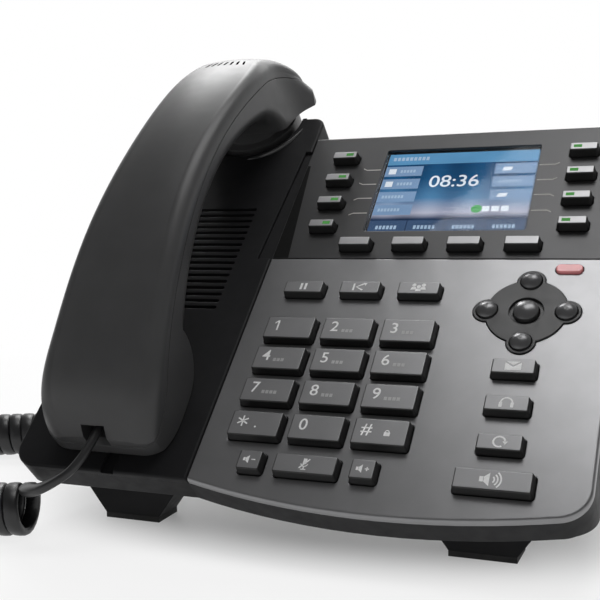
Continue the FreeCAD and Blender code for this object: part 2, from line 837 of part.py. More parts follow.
def make_membrane_and_board():
    """The key mat and the circuit board, with the sockets on the board as solids of their own."""
    east, west = f"{RIGHT} - 2 * wall", f"{SEAM} + 2 * wall"
    x, wide = f"({east} + {west}) / 2", f"{east} - ({west})"
    low, high = "cradle_front_y + 2 * wall", "face_top_y - 2 * wall"
    y, tall = f"({low} + {high}) / 2", f"{high} - ({low})"
    # the mat lies just below the flanges of fully pressed keys
    mat_top = "-(panel + flange_gap + flange + press + fit)"
    mat = make_plate("keypad_membrane", x, y, wide, tall, f"{mat_top} - membrane", mat_top)
    window = sketch_on(mat, "XY_Plane", mat_top)
    draw_box(
        window, "screen_x", "screen_y",
        "screen_wide + 3 * lcd_margin", "screen_tall + 2 * lcd_margin + 2 * fit",
    )
    pocket(mat, window, "2 * membrane")
    finish(mat)
    top = f"{mat_top} - membrane"
    board = make_plate("board_plate", x, y, wide, tall, f"{top} - board", top)
    solids = [board]
    for i, jack_x in enumerate(NETWORK_JACKS):
        low_end = "-body_depth + jack_sunk"
        jack = make_plate(f"jack_{i}", jack_x, "jack_y", "jack_wide", "jack_long", low_end, f"{top} - board")
        hole = sketch_on(jack, "XY_Plane", low_end)
        draw_box(hole, jack_x, "jack_y", "jack_hole_wide", "jack_hole_tall")
        pocket(jack, hole, "jack_hole_deep", up=True)
        solids.append(jack)
    jack = make_plate(
        "hand_jack", "hand_jack_x", "hand_jack_y", "hand_jack_wide", "hand_jack_wide",
        "-body_depth + jack_sunk", "-body_depth + jack_sunk + plug_long + wall",
    )
    hole = sketch_on(jack, "XY_Plane", "-body_depth + jack_sunk")
    draw_box(hole, "hand_jack_x", "hand_jack_y", "plug_wide + fit", "plug_tall + fit")
    pocket(jack, hole, "plug_long", up=True)
    solids.append(jack)
    group = doc.addObject("Part::Compound", "main_board")
    group.Label = "main_board"
    group.Links = solids
    doc.recompute()
    finish(group)


def make_loudspeaker():
    """A shallow cone driver under the grille: rim, basket and magnet."""
    body = new_body("loudspeaker")
    profile = sketch_on(body, "XZ_Plane")
    rim = "driver_radius"
    draw(
        profile,
        [
            ("0", "-driver_deep"), ("magnet_radius", "-driver_deep"), ("magnet_radius", "-basket_deep"),
            ("basket_radius", "-basket_deep"), (f"{rim} - wall", "-wall"), (rim, "-wall"), (rim, "0"),
            (f"{rim} - wall", "0"), ("cone_radius", "-cone_deep"), ("0", "-cone_deep"),
        ],
    )
    revolve(body, profile)
    finish(body, on_face(size("handset_x"), size("driver_y"), -size("panel")))


def make_hookswitch():
    """The plunger that the handset's ear cup holds down, with a collar under the well floor."""
    body = new_body("hookswitch_plunger")
    profile = sketch_on(body, "XZ_Plane")
    collar = "well_wall + hook_travel + fit + cup_clear"
    wide = "hook_radius + flange_lip"
    draw(
        profile,
        [
            ("0", "-hook_long"), ("hook_radius", "-hook_long"), ("hook_radius", f"-({collar} + flange)"),
            (wide, f"-({collar} + flange)"), (wide, f"-({collar})"), ("hook_radius", f"-({collar})"),
            ("hook_radius", "-hook_radius / 2"), ("0", "0"),
        ],
        {6: "1.25 * hook_radius"},
    )
    revolve(body, profile)
    finish(body, on_face(size("handset_x"), size("hook_y"), -size("ear_face + cup_clear")))


# The handset

def grip_section(sketch, half, top, back, shoulder):
    """The handset cut across: sloping sides, round shoulders and a slightly crowned back."""
    corners = [(half, "-ear_end_y / 4"), (top, f"{back} - {shoulder}"), (f"{top} - {shoulder}", back)]
    east = [(f"handset_x + {x}", z) for x, z in corners]
    west = [(f"handset_x - ({x})", z) for x, z in reversed(corners)]
    draw(sketch, east + west, {1: shoulder, 2: "crown_radius", 3: shoulder})


def end_section(part):
    return tuple(f"{part}_{what}" for what in ("y", "half", "top", "z", "shoulder"))


def grip_sections():
    """Where each section stands and its sizes: even steps along the grip, with closer ones that
    round off the mouth end before them and the ear end after them."""
    for part in MOUTH_SECTIONS:
        yield end_section(part)
    for i in range(GRIP_SECTIONS):
        y = f"(grip_start_y + {i} * grip_step)"
        half = f"(waist_half + ({y} - waist_y) ^ 2 / waist_bow)"
        top = f"(top_half + ({y} - top_waist_y) ^ 2 / top_bow)"
        bow = "back_bow" if size(y) < size("back_y") else "ear_bow"
        yield y, half, top, f"(back_z - ({y} - back_y) ^ 2 / {bow})", "shoulder"
    for part in EAR_SECTIONS:
        yield end_section(part)


def make_grip(body):
    """The handset's whole outside: one smooth skin through its sections, trimmed at both ends."""
    sections = []
    for y, *sizes in grip_sections():
        sections.append(sketch_on(body, "XZ_Plane", f"-({y})"))
        grip_section(sections[-1], *sizes)
    skin = body.newObject("PartDesign::AdditiveLoft", f"{body.Name}_skin")
    skin.Profile = sections[0]
    skin.Sections = sections[1:]
    doc.recompute()
    ends = sketch_on(body, "XY_Plane", "ear_end_y / 2")
    draw_box(ends, "handset_x", "waist_y", "2 * ear_end_y", "2 * ear_end_y")
    x = "handset_x"
    west_m, east_m = f"{x} - mouth_half", f"{x} + mouth_half"
    west_e, east_e = f"{x} - ear_half", f"{x} + ear_half"
    draw(
        ends,
        [
            (f"{west_m} + mouth_corner", "mouth_y"), (f"{east_m} - mouth_corner", "mouth_y"),
            (east_m, "mouth_y + mouth_corner"), (f"{east_m} + wall", "waist_start_y"),
            (f"{east_e} + wall", "ear_side_y - wall"), (east_e, "ear_side_y"),
            (f"{east_e} - ear_corner", "ear_end_y"), (f"{west_e} + ear_corner", "ear_end_y"),
            (west_e, "ear_side_y"), (f"{west_e} - wall", "ear_side_y - wall"),
            (f"{west_m} - wall", "waist_start_y"), (west_m, "mouth_y + mouth_corner"),
        ],
        {1: "mouth_corner", 5: "ear_round", 7: "ear_round", 11: "mouth_corner"},
    )
    pocket(body, ends, "2 * ear_end_y", middle=True)


def trim_to(body, corners, arcs):
    """Keep only what lies inside a side profile, given in the plane through the face's Y and Z."""
    trim = sketch_on(body, "YZ_Plane")
    far = "ear_end_y"
    draw(trim, [(f"-{far}", f"-{far}"), (f"2 * {far}", f"-{far}"), (f"2 * {far}", far), (f"-{far}", far)])
    draw(trim, corners, arcs)
    pocket(body, trim, "2 * base_width", middle=True)


GRIP_SECTIONS = 4
MOUTH_SECTIONS = ["mouth_tip", "mouth_lip", "mouth_brow", "mouth_root"]
EAR_SECTIONS = ["ear_root", "ear_crown", "ear_brow", "ear_tip"]

# The parting line between the two shells, from the mouth end to the ear end
SEAM_LINE = [
    ("mouth_y - over", "seam_mouth_z"), ("waist_start_y", "seam_waist_z"), ("seam_ear_y", "seam_ear_z"),
    ("ear_end_y + over", "-seam_tip_z"),
]
SEAM_ARCS = {1: "-seam_radius", 2: "-seam_ear_radius"}


def make_handset():
    back = new_body("handset_back_shell")
    make_grip(back)
    line = [(y, f"{z} + shell_gap") for y, z in SEAM_LINE]
    # the seam is steep at the ear end, so it opens more there to keep the same gap across
    line[-1] = (line[-1][0], f"{line[-1][1]} + shell_gap")
    top = [("ear_end_y + over", "ear_end_y / 2"), ("mouth_y - over", "ear_end_y / 2")]
    trim_to(back, line + top, SEAM_ARCS)
    notch = sketch_on(back, "XY_Plane", "notch_top")
    draw_box(notch, "handset_x", "mouth_y", "notch_wide", "2 * notch_deep")
    pocket(back, notch, "2 * notch_top")
    finish(back)

    front = new_body("handset_front_shell")
    make_grip(front)
    inner = [
        ("ear_end_y + over", "-ear_face / 2"), ("inner_ear_y", "inner_ear_z"),
        ("inner_grip_y", "inner_grip_z"), ("inner_mouth_y", "inner_mouth_z"),
        ("waist_start_y", "cup_clear"), ("mouth_y - over", "cup_clear"),
    ]
    trim_to(front, SEAM_LINE + inner, {**SEAM_ARCS, 5: "inner_round", 6: "inner_radius", 7: "-inner_round"})
    round_edges(front, grip_edges, "grip_round")
    cup = sketch_on(front, "XY_Plane", "-ear_face")
    draw_circle(cup, "handset_x", "column_top_y", "ear_cup")
    pad(front, cup, "ear_face")
    neck = sketch_on(front, "XY_Plane", "-ear_face")
    draw_circle(neck, "handset_x", "column_top_y", "ear_cup - cup_step")
    pad(front, neck, "ear_face + inner_ear_z")
    for x, y, radius, floor in CAPSULES:
        seat = sketch_on(front, "XY_Plane", floor)
        draw_circle(seat, x, y, f"{radius} + fit")
        pocket(front, seat, "ear_end_y", up=True)
    notch = sketch_on(front, "XY_Plane", "notch_top")
    draw_box(notch, "handset_x", "mouth_y", "notch_wide", "2 * notch_deep")
    pocket(front, notch, "notch_top - plug_z + plug_tall / 2 + fit")
    finish(front)

    capsules = []
    for name, (x, y, radius, floor) in zip(("receiver", "microphone"), CAPSULES):
        capsule = new_body(name)
        disc = sketch_on(capsule, "XY_Plane", f"{floor} + fit")
        draw_circle(disc, x, y, radius)
        pad(capsule, disc, "capsule")
        capsules.append(capsule)
    group = doc.addObject("Part::Compound", "handset_capsules")
    group.Label = "handset_capsules"
    group.Links = capsules
    doc.recompute()
    finish(group)


CAPSULES = [
    ("handset_x", "column_top_y", "receiver_radius", "-ear_face + wall"),
    (
        "handset_x", "mouth_y + notch_deep + 2 * wall + microphone_radius", "microphone_radius",
        "cup_clear + wall",
    ),
]


# Stand and feet

def table_point(along, above="0"):
    """A point of the table, given by its distance behind the front pads, in the face's Y and Z."""
    s, c = "sin(tilt * 1deg)", "cos(tilt * 1deg)"
    return (
        f"pad_y + ({along}) * {c} + ({above}) * {s}",
        f"pad_z - ({along}) * {s} + ({above}) * {c}",
    )


def make_stand():
    """The bracket under the base: a top plate against the housing and a leg down to the table."""
    body = new_body("desk_stand")
    side = sketch_on(body, "YZ_Plane")
    under = "-body_depth"
    draw(
        side,
        [
            ("stand_start_y", under), ("stand_top_y", under), table_point("stand_foot", "rubber"),
            table_point("stand_foot - stand_foot_long", "rubber"),
            table_point("stand_foot - stand_foot_long", "rubber + stand_plate"),
            table_point("stand_foot - 2 * stand_plate", "rubber + 2 * stand_plate"),
            ("stand_top_y - 2 * stand_plate", f"{under} - stand_plate"),
            ("stand_start_y", f"{under} - stand_plate"),
        ],
    )
    pad(body, side, "stand_wide", middle=True)
    window = sketch_on(body, "XY_Plane", f"{under} - 3 * stand_plate")
    draw_box(window, "0", "stand_window_y", "stand_wide - 2 * stand_leg", "stand_window", "corner")
    pocket(body, window, "base_width")
    finish(body)


def make_feet():
    """Four rubber pads on the table: two under the front legs and two under the stand."""
    pads = []
    front_y = LEAN.multVec(V(0, size("pad_y"), size("pad_z"))).y - size("depth_centre")
    rear = "stand_foot - stand_foot_long / 2"
    for along, x, wide, deep in (
        ("0", "leg_x", "leg_foot", "leg_long"),
        (rear, "stand_wide / 2 - stand_leg / 2", "stand_leg", "stand_foot_long"),
    ):
        for side in (-1, 1):
            block = doc.addObject("Part::Box", "foot_block")
            block.setExpression("Length", bound(wide))
            block.setExpression("Width", bound(deep))
            block.setExpression("Height", bound("rubber"))
            corner = V(side * size(x) - size(wide) / 2, front_y + size(along) - size(deep) / 2, 0)
            block.Placement.Base = corner
            pads.append(block)
    group = doc.addObject("Part::Compound", "rubber_feet")
    group.Label = "rubber_feet"
    group.Links = pads
    doc.recompute()
    finish(group, FreeCAD.Placement())


# Cord

def tube(points, diameter, what):
    """A round tube along straight runs joined by tangent arcs as large as the runs allow."""
    edges, start, radii = [], points[0], []
    for before, corner, after in zip(points, points[1:], points[2:]):
        into, out = corner - before, after - corner
        turn = into.getAngle(out)
        reach = BEND_SHARE * min(into.Length, out.Length)
        radii.append(reach / math.tan(turn / 2))
        into.normalize()
        out.normalize()
        first, last = corner - into * reach, corner + out * reach
        bend = out - into
        bend.normalize()
        middle = corner + bend * (radii[-1] / math.cos(turn / 2) - radii[-1])
        edges += [Part.LineSegment(start, first).toShape(), Part.Arc(first, middle, last).toShape()]
        start = last
    edges.append(Part.LineSegment(start, points[-1]).toShape())
    path = Part.Wire(edges)
    heading = points[1] - points[0]
    ring = Part.Wire(Part.Circle(points[0], heading, diameter / 2).toShape())
    solid = path.makePipeShell([ring], True, True)
    share = solid.Volume / (path.Length * math.pi * diameter ** 2 / 4)
    bends = [round(radius, 1) for radius in radii]
    print(f"{what}: length {path.Length:.1f}, radii {bends}, volume share {share:.4f}")
    return solid


def face_point(x, y, z):
    return on_face().multVec(V(x, y, z))


def make_cord():
    """The handset's curly cord: a bare lead at each end and one fat tube for the curl."""
    cord, curl = size("cord"), size("curl")
    lift = curl / 2
    # each lead leaves its plug square to the plug's end
    x, y, z = size("handset_x"), size("mouth_y + notch_deep - plug_long"), size("plug_z")
    lead = [face_point(x, y, z), face_point(x, y - size("lead_run"), z)]
    lead += [V(*p) for p in HANDSET_LEAD]
    x, y, z = size("hand_jack_x"), size("hand_jack_y"), -size("body_depth + plug_tail")
    tail = [face_point(x, y, z), face_point(x, y, z - size("tail_run"))]
    tail += [V(*p) for p in BASE_LEAD]
    leads = doc.addObject("Part::Feature", "cord_leads")
    leads.Shape = Part.Compound([tube(lead, cord, "handset lead"), tube(tail, cord, "base lead")])
    leads.Label = "cord_leads"
    PIECES.append(leads)
    coil = doc.addObject("Part::Feature", "cord_curl")
    coil.Shape = tube([V(x, y, lift) for x, y in CURL], curl, "curl")
    coil.Label = "cord_curl"
    PIECES.append(coil)

    for label, x, y, z, turn in (
        ("handset_plug", "handset_x", "mouth_y + notch_deep - plug_long", "plug_z", 0),
        ("base_plug", "hand_jack_x", "hand_jack_y", "-body_depth - plug_tail", 90),
    ):
        body = new_body(label)
        end = sketch_on(body, "XZ_Plane")
        draw_box(end, "0", "0", "plug_wide", "plug_tall")
        pad(body, end, "plug_long", down=True)
        place = on_face(size(x), size(y), size(z))
        place.Rotation = place.Rotation.multiply(FreeCAD.Rotation(V(1, 0, 0), turn))
        finish(body, place)


# How much of the shorter run beside a corner its bend may take
BEND_SHARE = 0.45

# Routes on the table, in the finished part's frame
HANDSET_LEAD = [(-75.0, -91.4, 21.0), (-90.0, -82.4, 16.3)]
CURL = [
    (-90.0, -79.0), (-111.0, -83.0), (-136.0, -99.0), (-170.0, -116.0), (-207.0, -109.0), (-232.0, -82.0),
    (-236.0, -45.0), (-216.0, -13.0), (-181.0, 1.0), (-146.0, 17.0), (-114.0, 28.0),
]
BASE_LEAD = [(-84.0, 10.0, 16.0), (-96.0, 26.0, 9.25), (-114.0, 28.0, 9.25)]

NETWORK_JACKS = ["jack_x", "jack_x + jack_pitch"]

NAV_KEYS = [
    ("nav_up", "nav_dome", "nav_x", "nav_y + nav_ring"),
    ("nav_down", "nav_dome", "nav_x", "nav_y - nav_ring"),
    ("nav_left", "nav_dome", "nav_x - nav_ring", "nav_y"),
    ("nav_right", "nav_dome", "nav_x + nav_ring", "nav_y"),
    ("nav_ok", "nav_ok_dome", "nav_x", "nav_y"),
]
NAV_PLATE = [("nav_x", "nav_y", "nav_disc")] + [(x, y, "nav_lobe") for _, _, x, y in NAV_KEYS[:4]]


def main():
    make_rear_housing()
    make_cradle_cover()
    make_face_panel()
    make_display_bezel()
    make_nav_plate()
    make_display()
    make_membrane_and_board()
    make_loudspeaker()
    make_hookswitch()
    make_handset()
    make_stand()
    make_feet()
    make_cord()
    for key in FACE_KEYS + BEZEL_KEYS:
        make_key(*key)
    for key in NAV_KEYS:
        make_dome(*key)
    doc.recompute()
    for item in doc.Objects:
        if {"Invalid", "Error"} & set(item.State):
            raise RuntimeError(f"{item.Label}: {item.State}")
    for piece in PIECES:
        if piece.Shape.isNull() or not piece.Shape.isValid():
            raise RuntimeError(f"{piece.Label} has no valid shape")
    os.makedirs("parts", exist_ok=True)
    for piece in PIECES:
        piece.Shape.exportStep(f"parts/{piece.Label}.step")
    box = FreeCAD.BoundBox()
    for piece in PIECES:
        if not piece.Label.startswith("cord_"):
            box.add(piece.Shape.BoundBox)
    print(f"{len(PIECES)} sub-parts, {box}")


main()
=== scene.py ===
"""Looks of the desk phone: camera, light, materials, printing, the screen and the curly cord."""

import json
import math

import bpy
from mathutils import Matrix, Vector


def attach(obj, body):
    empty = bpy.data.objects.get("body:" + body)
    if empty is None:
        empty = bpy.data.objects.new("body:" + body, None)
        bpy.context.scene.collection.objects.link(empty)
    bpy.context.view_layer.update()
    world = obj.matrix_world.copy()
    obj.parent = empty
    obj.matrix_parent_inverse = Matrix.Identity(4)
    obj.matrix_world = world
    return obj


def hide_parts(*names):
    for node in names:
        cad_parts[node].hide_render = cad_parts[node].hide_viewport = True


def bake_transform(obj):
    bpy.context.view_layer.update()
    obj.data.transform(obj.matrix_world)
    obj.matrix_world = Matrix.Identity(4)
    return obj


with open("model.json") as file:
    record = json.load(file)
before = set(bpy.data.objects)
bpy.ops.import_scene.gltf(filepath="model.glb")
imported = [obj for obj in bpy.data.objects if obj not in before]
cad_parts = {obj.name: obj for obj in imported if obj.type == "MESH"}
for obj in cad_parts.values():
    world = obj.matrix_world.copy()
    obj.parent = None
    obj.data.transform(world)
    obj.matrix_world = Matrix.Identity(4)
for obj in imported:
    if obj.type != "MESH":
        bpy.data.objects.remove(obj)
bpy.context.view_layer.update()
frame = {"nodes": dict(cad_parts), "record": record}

NODES = frame["nodes"]
MM = 0.001
UP = Vector((0, 0, 1))

# The face frame of the part's source: X right, Y up the sloping face, Z square to it

TILT = math.radians(42.0)
PAD_Y, PAD_Z = 16.7 * MM, -36.4 * MM
DEPTH_CENTRE = 84.74 * MM
RISE = -(PAD_Y * math.sin(TILT) + PAD_Z * math.cos(TILT))
FACE = Matrix.Translation((0, -DEPTH_CENTRE, RISE)) @ Matrix.Rotation(TILT, 4, "X")
FACE_NORMAL = FACE.to_3x3() @ UP


def face(x, y, z):
    """A point of the face frame, given in millimetres, in the part's frame in metres."""
    return FACE @ (Vector((x, y, z)) * MM)


# Objects, meshes and shader nodes

NOISE_SPAN = (0.3, 0.7)
TONE_PLACES = (0.35, 0.65)


def add(name, data):
    piece = bpy.data.objects.new(name, data)
    bpy.context.scene.collection.objects.link(piece)
    return piece


def new_mesh(name, points, faces):
    mesh = bpy.data.meshes.new(name)
    mesh.from_pydata(points, [], faces)
    mesh.update()
    return mesh


def as_mesh(name, curve):
    """The mesh of a curve or of lettering."""
    source = add(name, curve)
    bpy.context.view_layer.update()
    evaluated = source.evaluated_get(bpy.context.evaluated_depsgraph_get())
    mesh = bpy.data.meshes.new_from_object(evaluated)
    bpy.data.objects.remove(source)
    return mesh


def smooth_sides(mesh):
    """Shade the four-sided faces smooth and leave the end faces flat."""
    for polygon in mesh.polygons:
        polygon.use_smooth = len(polygon.vertices) == 4


def new_tree(name):
    material = bpy.data.materials.new(name)
    material.use_nodes = True
    tree = material.node_tree
    return material, tree, tree.nodes["Principled BSDF"]


def place_of(tree, kind):
    """The place being shaded: Object in metres, or Generated as a direction in the world."""
    return tree.nodes.new("ShaderNodeTexCoord").outputs[kind]


def split(tree, vector):
    node = tree.nodes.new("ShaderNodeSeparateXYZ")
    tree.links.new(vector, node.inputs[0])
    return node.outputs


def mapped(tree, value, source, target, easing="SMOOTHSTEP"):
    """Map a value from one range on to another, staying inside it."""
    node = tree.nodes.new("ShaderNodeMapRange")
    node.interpolation_type = easing
    node.inputs["From Min"].default_value, node.inputs["From Max"].default_value = source
    node.inputs["To Min"].default_value, node.inputs["To Max"].default_value = target
    tree.links.new(value, node.inputs["Value"])
    return node.outputs["Result"]


def maths(tree, operation, first, second):
    node = tree.nodes.new("ShaderNodeMath")
    node.operation = operation
    tree.links.new(first, node.inputs[0])
    tree.links.new(second, node.inputs[1])
    return node.outputs[0]


def noise(tree, scale, detail=2.0):
    """Noise in object space, so that it keeps its scale in metres."""
    node = tree.nodes.new("ShaderNodeTexNoise")
    node.inputs["Scale"].default_value = scale
    node.inputs["Detail"].default_value = detail
    tree.links.new(place_of(tree, "Object"), node.inputs["Vector"])
    return node.outputs["Fac"]


def spread(tree, value, low, high):
    """Map a noise value, which stays near its middle, on to a range."""
    return mapped(tree, value, NOISE_SPAN, (low, high), "LINEAR")


def ramp(tree, value, stops):
    """Colours along a value, from places and the colours there."""
    node = tree.nodes.new("ShaderNodeValToRGB")
    elements = node.color_ramp.elements
    while len(elements) < len(stops):
        elements.new(0.5)
    for element, (place, colour) in zip(elements, stops):
        element.position = place
        element.color = (*colour, 1)
    tree.links.new(value, node.inputs["Fac"])
    return node.outputs["Color"]


def two_tone(tree, value, dark, light):
    return ramp(tree, value, list(zip(TONE_PLACES, (dark, light))))


# Camera, floor and light

SENSOR = 36.0
IMAGE = 600
FOCAL_PIXELS = 1052.18
CLIP_START = 0.01
EYE = Vector((139.2, -368.17, 122.9)) * MM
RIGHT = Vector((0.920115, 0.390267, -0.032857))
DOWN = Vector((0.017283, -0.124271, -0.992098))
FORWARD = Vector((-0.391266, 0.912277, -0.121089))

BACKDROP_EDGE = (0.2, 0.65)
BACKDROP_TOP = (0.45, 0.9)
WALL_TOP = (0.08, 0.2)
CEILING = 0.16

FLOOR_SIZE = 8.0
FLOOR_COLOUR = (0.86, 0.86, 0.86, 1)
FLOOR_ROUGH, FLOOR_SPECULAR = 0.6, 0.2
FLOOR_SPREAD = (0.75, 1.4, 1.0)
SHADOW_SPAN, SHADOW_FADE = (0.069, 0.125), (0.18, 0.8)
WHITE_SPAN = (0.2, 0.45)

# Each lamp's place, what it points at, its size and its power
LAMPS = {
    "top_light": ((0.12, 0.08, 1.15), (0.03, 0.0, 0.08), (0.5, 0.7), 5.5),
    "back_light": ((-0.25, 0.85, 0.8), (-0.06, 0.0, 0.1), (0.9, 0.45), 4.5),
    "left_light": ((-0.45, 0.65, 0.95), (-0.06, 0.03, 0.13), (0.35, 0.35), 3.0),
    "fill_light": ((-0.5, -1.1, 0.35), (0.0, 0.0, 0.08), (0.8, 0.5), 0.25),
}


def make_camera():
    data = bpy.data.cameras.new("camera")
    data.sensor_fit = "HORIZONTAL"
    data.sensor_width = SENSOR
    data.lens = SENSOR * FOCAL_PIXELS / IMAGE
    data.clip_start = CLIP_START
    camera = add("camera", data)
    axes = Matrix((RIGHT, -DOWN, -FORWARD)).transposed()
    camera.matrix_world = Matrix.Translation(EYE) @ axes.to_4x4()
    bpy.context.scene.camera = camera


def make_world():
    """A white backdrop behind the phone and a low white wall all round, under a dimmer ceiling."""
    world = bpy.data.worlds.new("studio")
    bpy.context.scene.world = world
    world.use_nodes = True
    tree = world.node_tree
    heading = split(tree, place_of(tree, "Generated"))
    behind = mapped(tree, heading["Y"], BACKDROP_EDGE, (0, 1))
    low = mapped(tree, heading["Z"], BACKDROP_TOP, (1, 0))
    wall = mapped(tree, heading["Z"], WALL_TOP, (1, 0))
    backdrop = maths(tree, "MAXIMUM", maths(tree, "MULTIPLY", behind, low), wall)
    shade = mapped(tree, backdrop, (0, 1), (CEILING, 1))
    tree.links.new(shade, tree.nodes["Background"].inputs["Strength"])
    tree.nodes["Background"].inputs["Color"].default_value = (1, 1, 1, 1)


def seen_directly(tree):
    """1 where the camera, a mirror image or glass looks straight at a thing, else 0."""
    path = tree.nodes.new("ShaderNodeLightPath")
    seen = maths(tree, "MAXIMUM", path.outputs["Is Camera Ray"], path.outputs["Is Glossy Ray"])
    return maths(tree, "MAXIMUM", seen, path.outputs["Is Transmission Ray"])


def make_floor():
    """A pale floor that keeps the phone's shadow and runs out into plain white."""
    half = FLOOR_SIZE / 2
    corners = [(-half, -half, 0), (half, -half, 0), (half, half, 0), (-half, half, 0)]
    mesh = new_mesh("floor", corners, [(0, 1, 2, 3)])
    floor = add("floor", mesh)
    material, tree, shader = new_tree("floor")
    shader.inputs["Base Color"].default_value = FLOOR_COLOUR
    shader.inputs["Roughness"].default_value = FLOOR_ROUGH
    shader.inputs["Specular IOR Level"].default_value = FLOOR_SPECULAR
    stretched = tree.nodes.new("ShaderNodeVectorMath")
    stretched.operation = "MULTIPLY"
    stretched.inputs[1].default_value = FLOOR_SPREAD
    tree.links.new(place_of(tree, "Object"), stretched.inputs[0])
    reach = tree.nodes.new("ShaderNodeVectorMath")
    reach.operation = "LENGTH"
    tree.links.new(stretched.outputs["Vector"], reach.inputs[0])
    near = mapped(tree, reach.outputs["Value"], SHADOW_SPAN, SHADOW_FADE)
    far = mapped(tree, reach.outputs["Value"], WHITE_SPAN, (0, 1))
    fade = maths(tree, "MAXIMUM", near, far)
    white = tree.nodes.new("ShaderNodeEmission")
    mix = tree.nodes.new("ShaderNodeMixShader")
    tree.links.new(maths(tree, "MULTIPLY", fade, seen_directly(tree)), mix.inputs[0])
    tree.links.new(shader.outputs[0], mix.inputs[1])
    tree.links.new(white.outputs[0], mix.inputs[2])
    tree.links.new(mix.outputs[0], tree.nodes["Material Output"].inputs["Surface"])
    mesh.materials.append(material)


def make_lights():
    for name, (place, aim, size, power) in LAMPS.items():
        data = bpy.data.lights.new(name, "AREA")
        data.shape = "RECTANGLE"
        data.size, data.size_y = size
        data.energy = power
        lamp = add(name, data)
        lamp.location = place
        lamp.rotation_euler = (Vector(aim) - Vector(place)).to_track_quat("-Z", "Y").to_euler()


# Sizes of the face, as in the part's source, in millimetres

DIAL_X, DIAL_PITCH_X, DIAL_Y, DIAL_PITCH_Y = 11.85, 21.75, 33.9, 13.73
FUNCTION_Y, AUDIO_Y, VOLUME_PITCH = 94.3, 20.0, 19.3
SIDE_X, SIDE_Y, SIDE_PITCH = 71.4, 33.3, 14.35
KEY_TOP, LINE_TOP = 3.2, 3.6
INK = 0.04
SCREEN_X, SCREEN_Y, SCREEN_WIDE, SCREEN_TALL = 35.2, 148.0, 61.0, 45.0
SCREEN_Z = -1.86
SCREEN_LOW = face(SCREEN_X, SCREEN_Y - SCREEN_TALL / 2, SCREEN_Z)
SCREEN_HIGH = face(SCREEN_X, SCREEN_Y + SCREEN_TALL / 2, SCREEN_Z)
LINE_X = {"left": -11.9, "right": 82.5}
LINE_Y, LINE_PITCH, LINE_WIDE, LINE_COUNT = 126.6, 12.85, 9.9, 4
NAV_X, NAV_Y, NAV_RING, NAV_TOP = 71.6, 87.1, 13.2, 2.6


# Materials

EDGE_ROUND, EDGE_SAMPLES = 0.4 * MM, 4
MOTTLE, MOTTLE_DETAIL = 90.0, 4.0
SHEEN = 240.0
GRAIN_DETAIL, GRAIN_DEPTH = 3.0, 0.1 * MM
COAT_ROUGH = 0.12
PAINT_BLUE, FLAKE = 1.02, 3200.0
INK_GRAIN, INK_WORN = 1400.0, 0.86
GLOW_GRAIN, GLOW_SHADE = 60.0, 0.12
SKY_GLOW, SKY_WAVE, SKY_DISTORTION, SKY_BANDS = 0.9, 18.0, 3.0, 0.25
SKY_STOPS = [
    (0.0, (0.01, 0.02, 0.05)), (0.17, (0.02, 0.04, 0.09)), (0.24, (0.45, 0.46, 0.56)),
    (0.42, (0.07, 0.2, 0.37)), (0.66, (0.012, 0.08, 0.19)), (1.0, (0.008, 0.05, 0.13)),
]
WINDOW_TINT, WINDOW_IOR = (0.95, 0.97, 1, 1), 1.15
WINDOW_MARKS, WINDOW_ROUGH = 60.0, (0.02, 0.08)


def bumped(tree, shader, height, strength):
    """A fine grain on a surface whose sharp edges catch the light as slightly rounded ones do."""
    edge = tree.nodes.new("ShaderNodeBevel")
    edge.samples = EDGE_SAMPLES
    edge.inputs["Radius"].default_value = EDGE_ROUND
    bump = tree.nodes.new("ShaderNodeBump")
    tree.links.new(edge.outputs["Normal"], bump.inputs["Normal"])
    bump.inputs["Strength"].default_value = strength
    bump.inputs["Distance"].default_value = GRAIN_DEPTH
    tree.links.new(height, bump.inputs["Height"])
    tree.links.new(bump.outputs["Normal"], shader.inputs["Normal"])


def moulded(
    name, colour, rough, grain=1600.0, bump=0.05, vary=0.12, uneven=0.1,
    coat=0.0, metallic=0.0, specular=0.5,
):
    """Moulded or painted plastic: faint mottling, uneven gloss and a fine moulded grain."""
    material, tree, shader = new_tree(name)
    dark = [c * (1 - vary) for c in colour]
    light = [c * (1 + vary) for c in colour]
    mottled = two_tone(tree, noise(tree, MOTTLE, MOTTLE_DETAIL), dark, light)
    tree.links.new(mottled, shader.inputs["Base Color"])
    gloss = spread(tree, noise(tree, SHEEN), rough * (1 - uneven), rough * (1 + uneven))
    tree.links.new(gloss, shader.inputs["Roughness"])
    shader.inputs["Metallic"].default_value = metallic
    shader.inputs["Specular IOR Level"].default_value = specular
    shader.inputs["Coat Weight"].default_value = coat
    shader.inputs["Coat Roughness"].default_value = COAT_ROUGH
    bumped(tree, shader, noise(tree, grain, GRAIN_DETAIL), bump)
    return material


def painted(name, shade, rough, metallic):
    """Grey metallic paint: an even gloss over a very fine flake."""
    return moulded(
        name, (shade, shade, shade * PAINT_BLUE), rough, grain=FLAKE, bump=0.03, vary=0.03,
        uneven=0.02, metallic=metallic,
    )


def ink(name, colour, rough=0.5, specular=0.5):
    """Printed ink, a little uneven."""
    material, tree, shader = new_tree(name)
    worn = [c * INK_WORN for c in colour]
    uneven = two_tone(tree, noise(tree, INK_GRAIN), worn, colour)
    tree.links.new(uneven, shader.inputs["Base Color"])
    shader.inputs["Roughness"].default_value = rough
    shader.inputs["Specular IOR Level"].default_value = specular
    return material


def lit(name, strength):
    """A material that only gives off light, with the socket for the light's colour."""
    material, tree, shader = new_tree(name)
    shader.inputs["Base Color"].default_value = (0, 0, 0, 1)
    shader.inputs["Specular IOR Level"].default_value = 0
    shader.inputs["Emission Strength"].default_value = strength
    return material, tree, shader.inputs["Emission Color"]


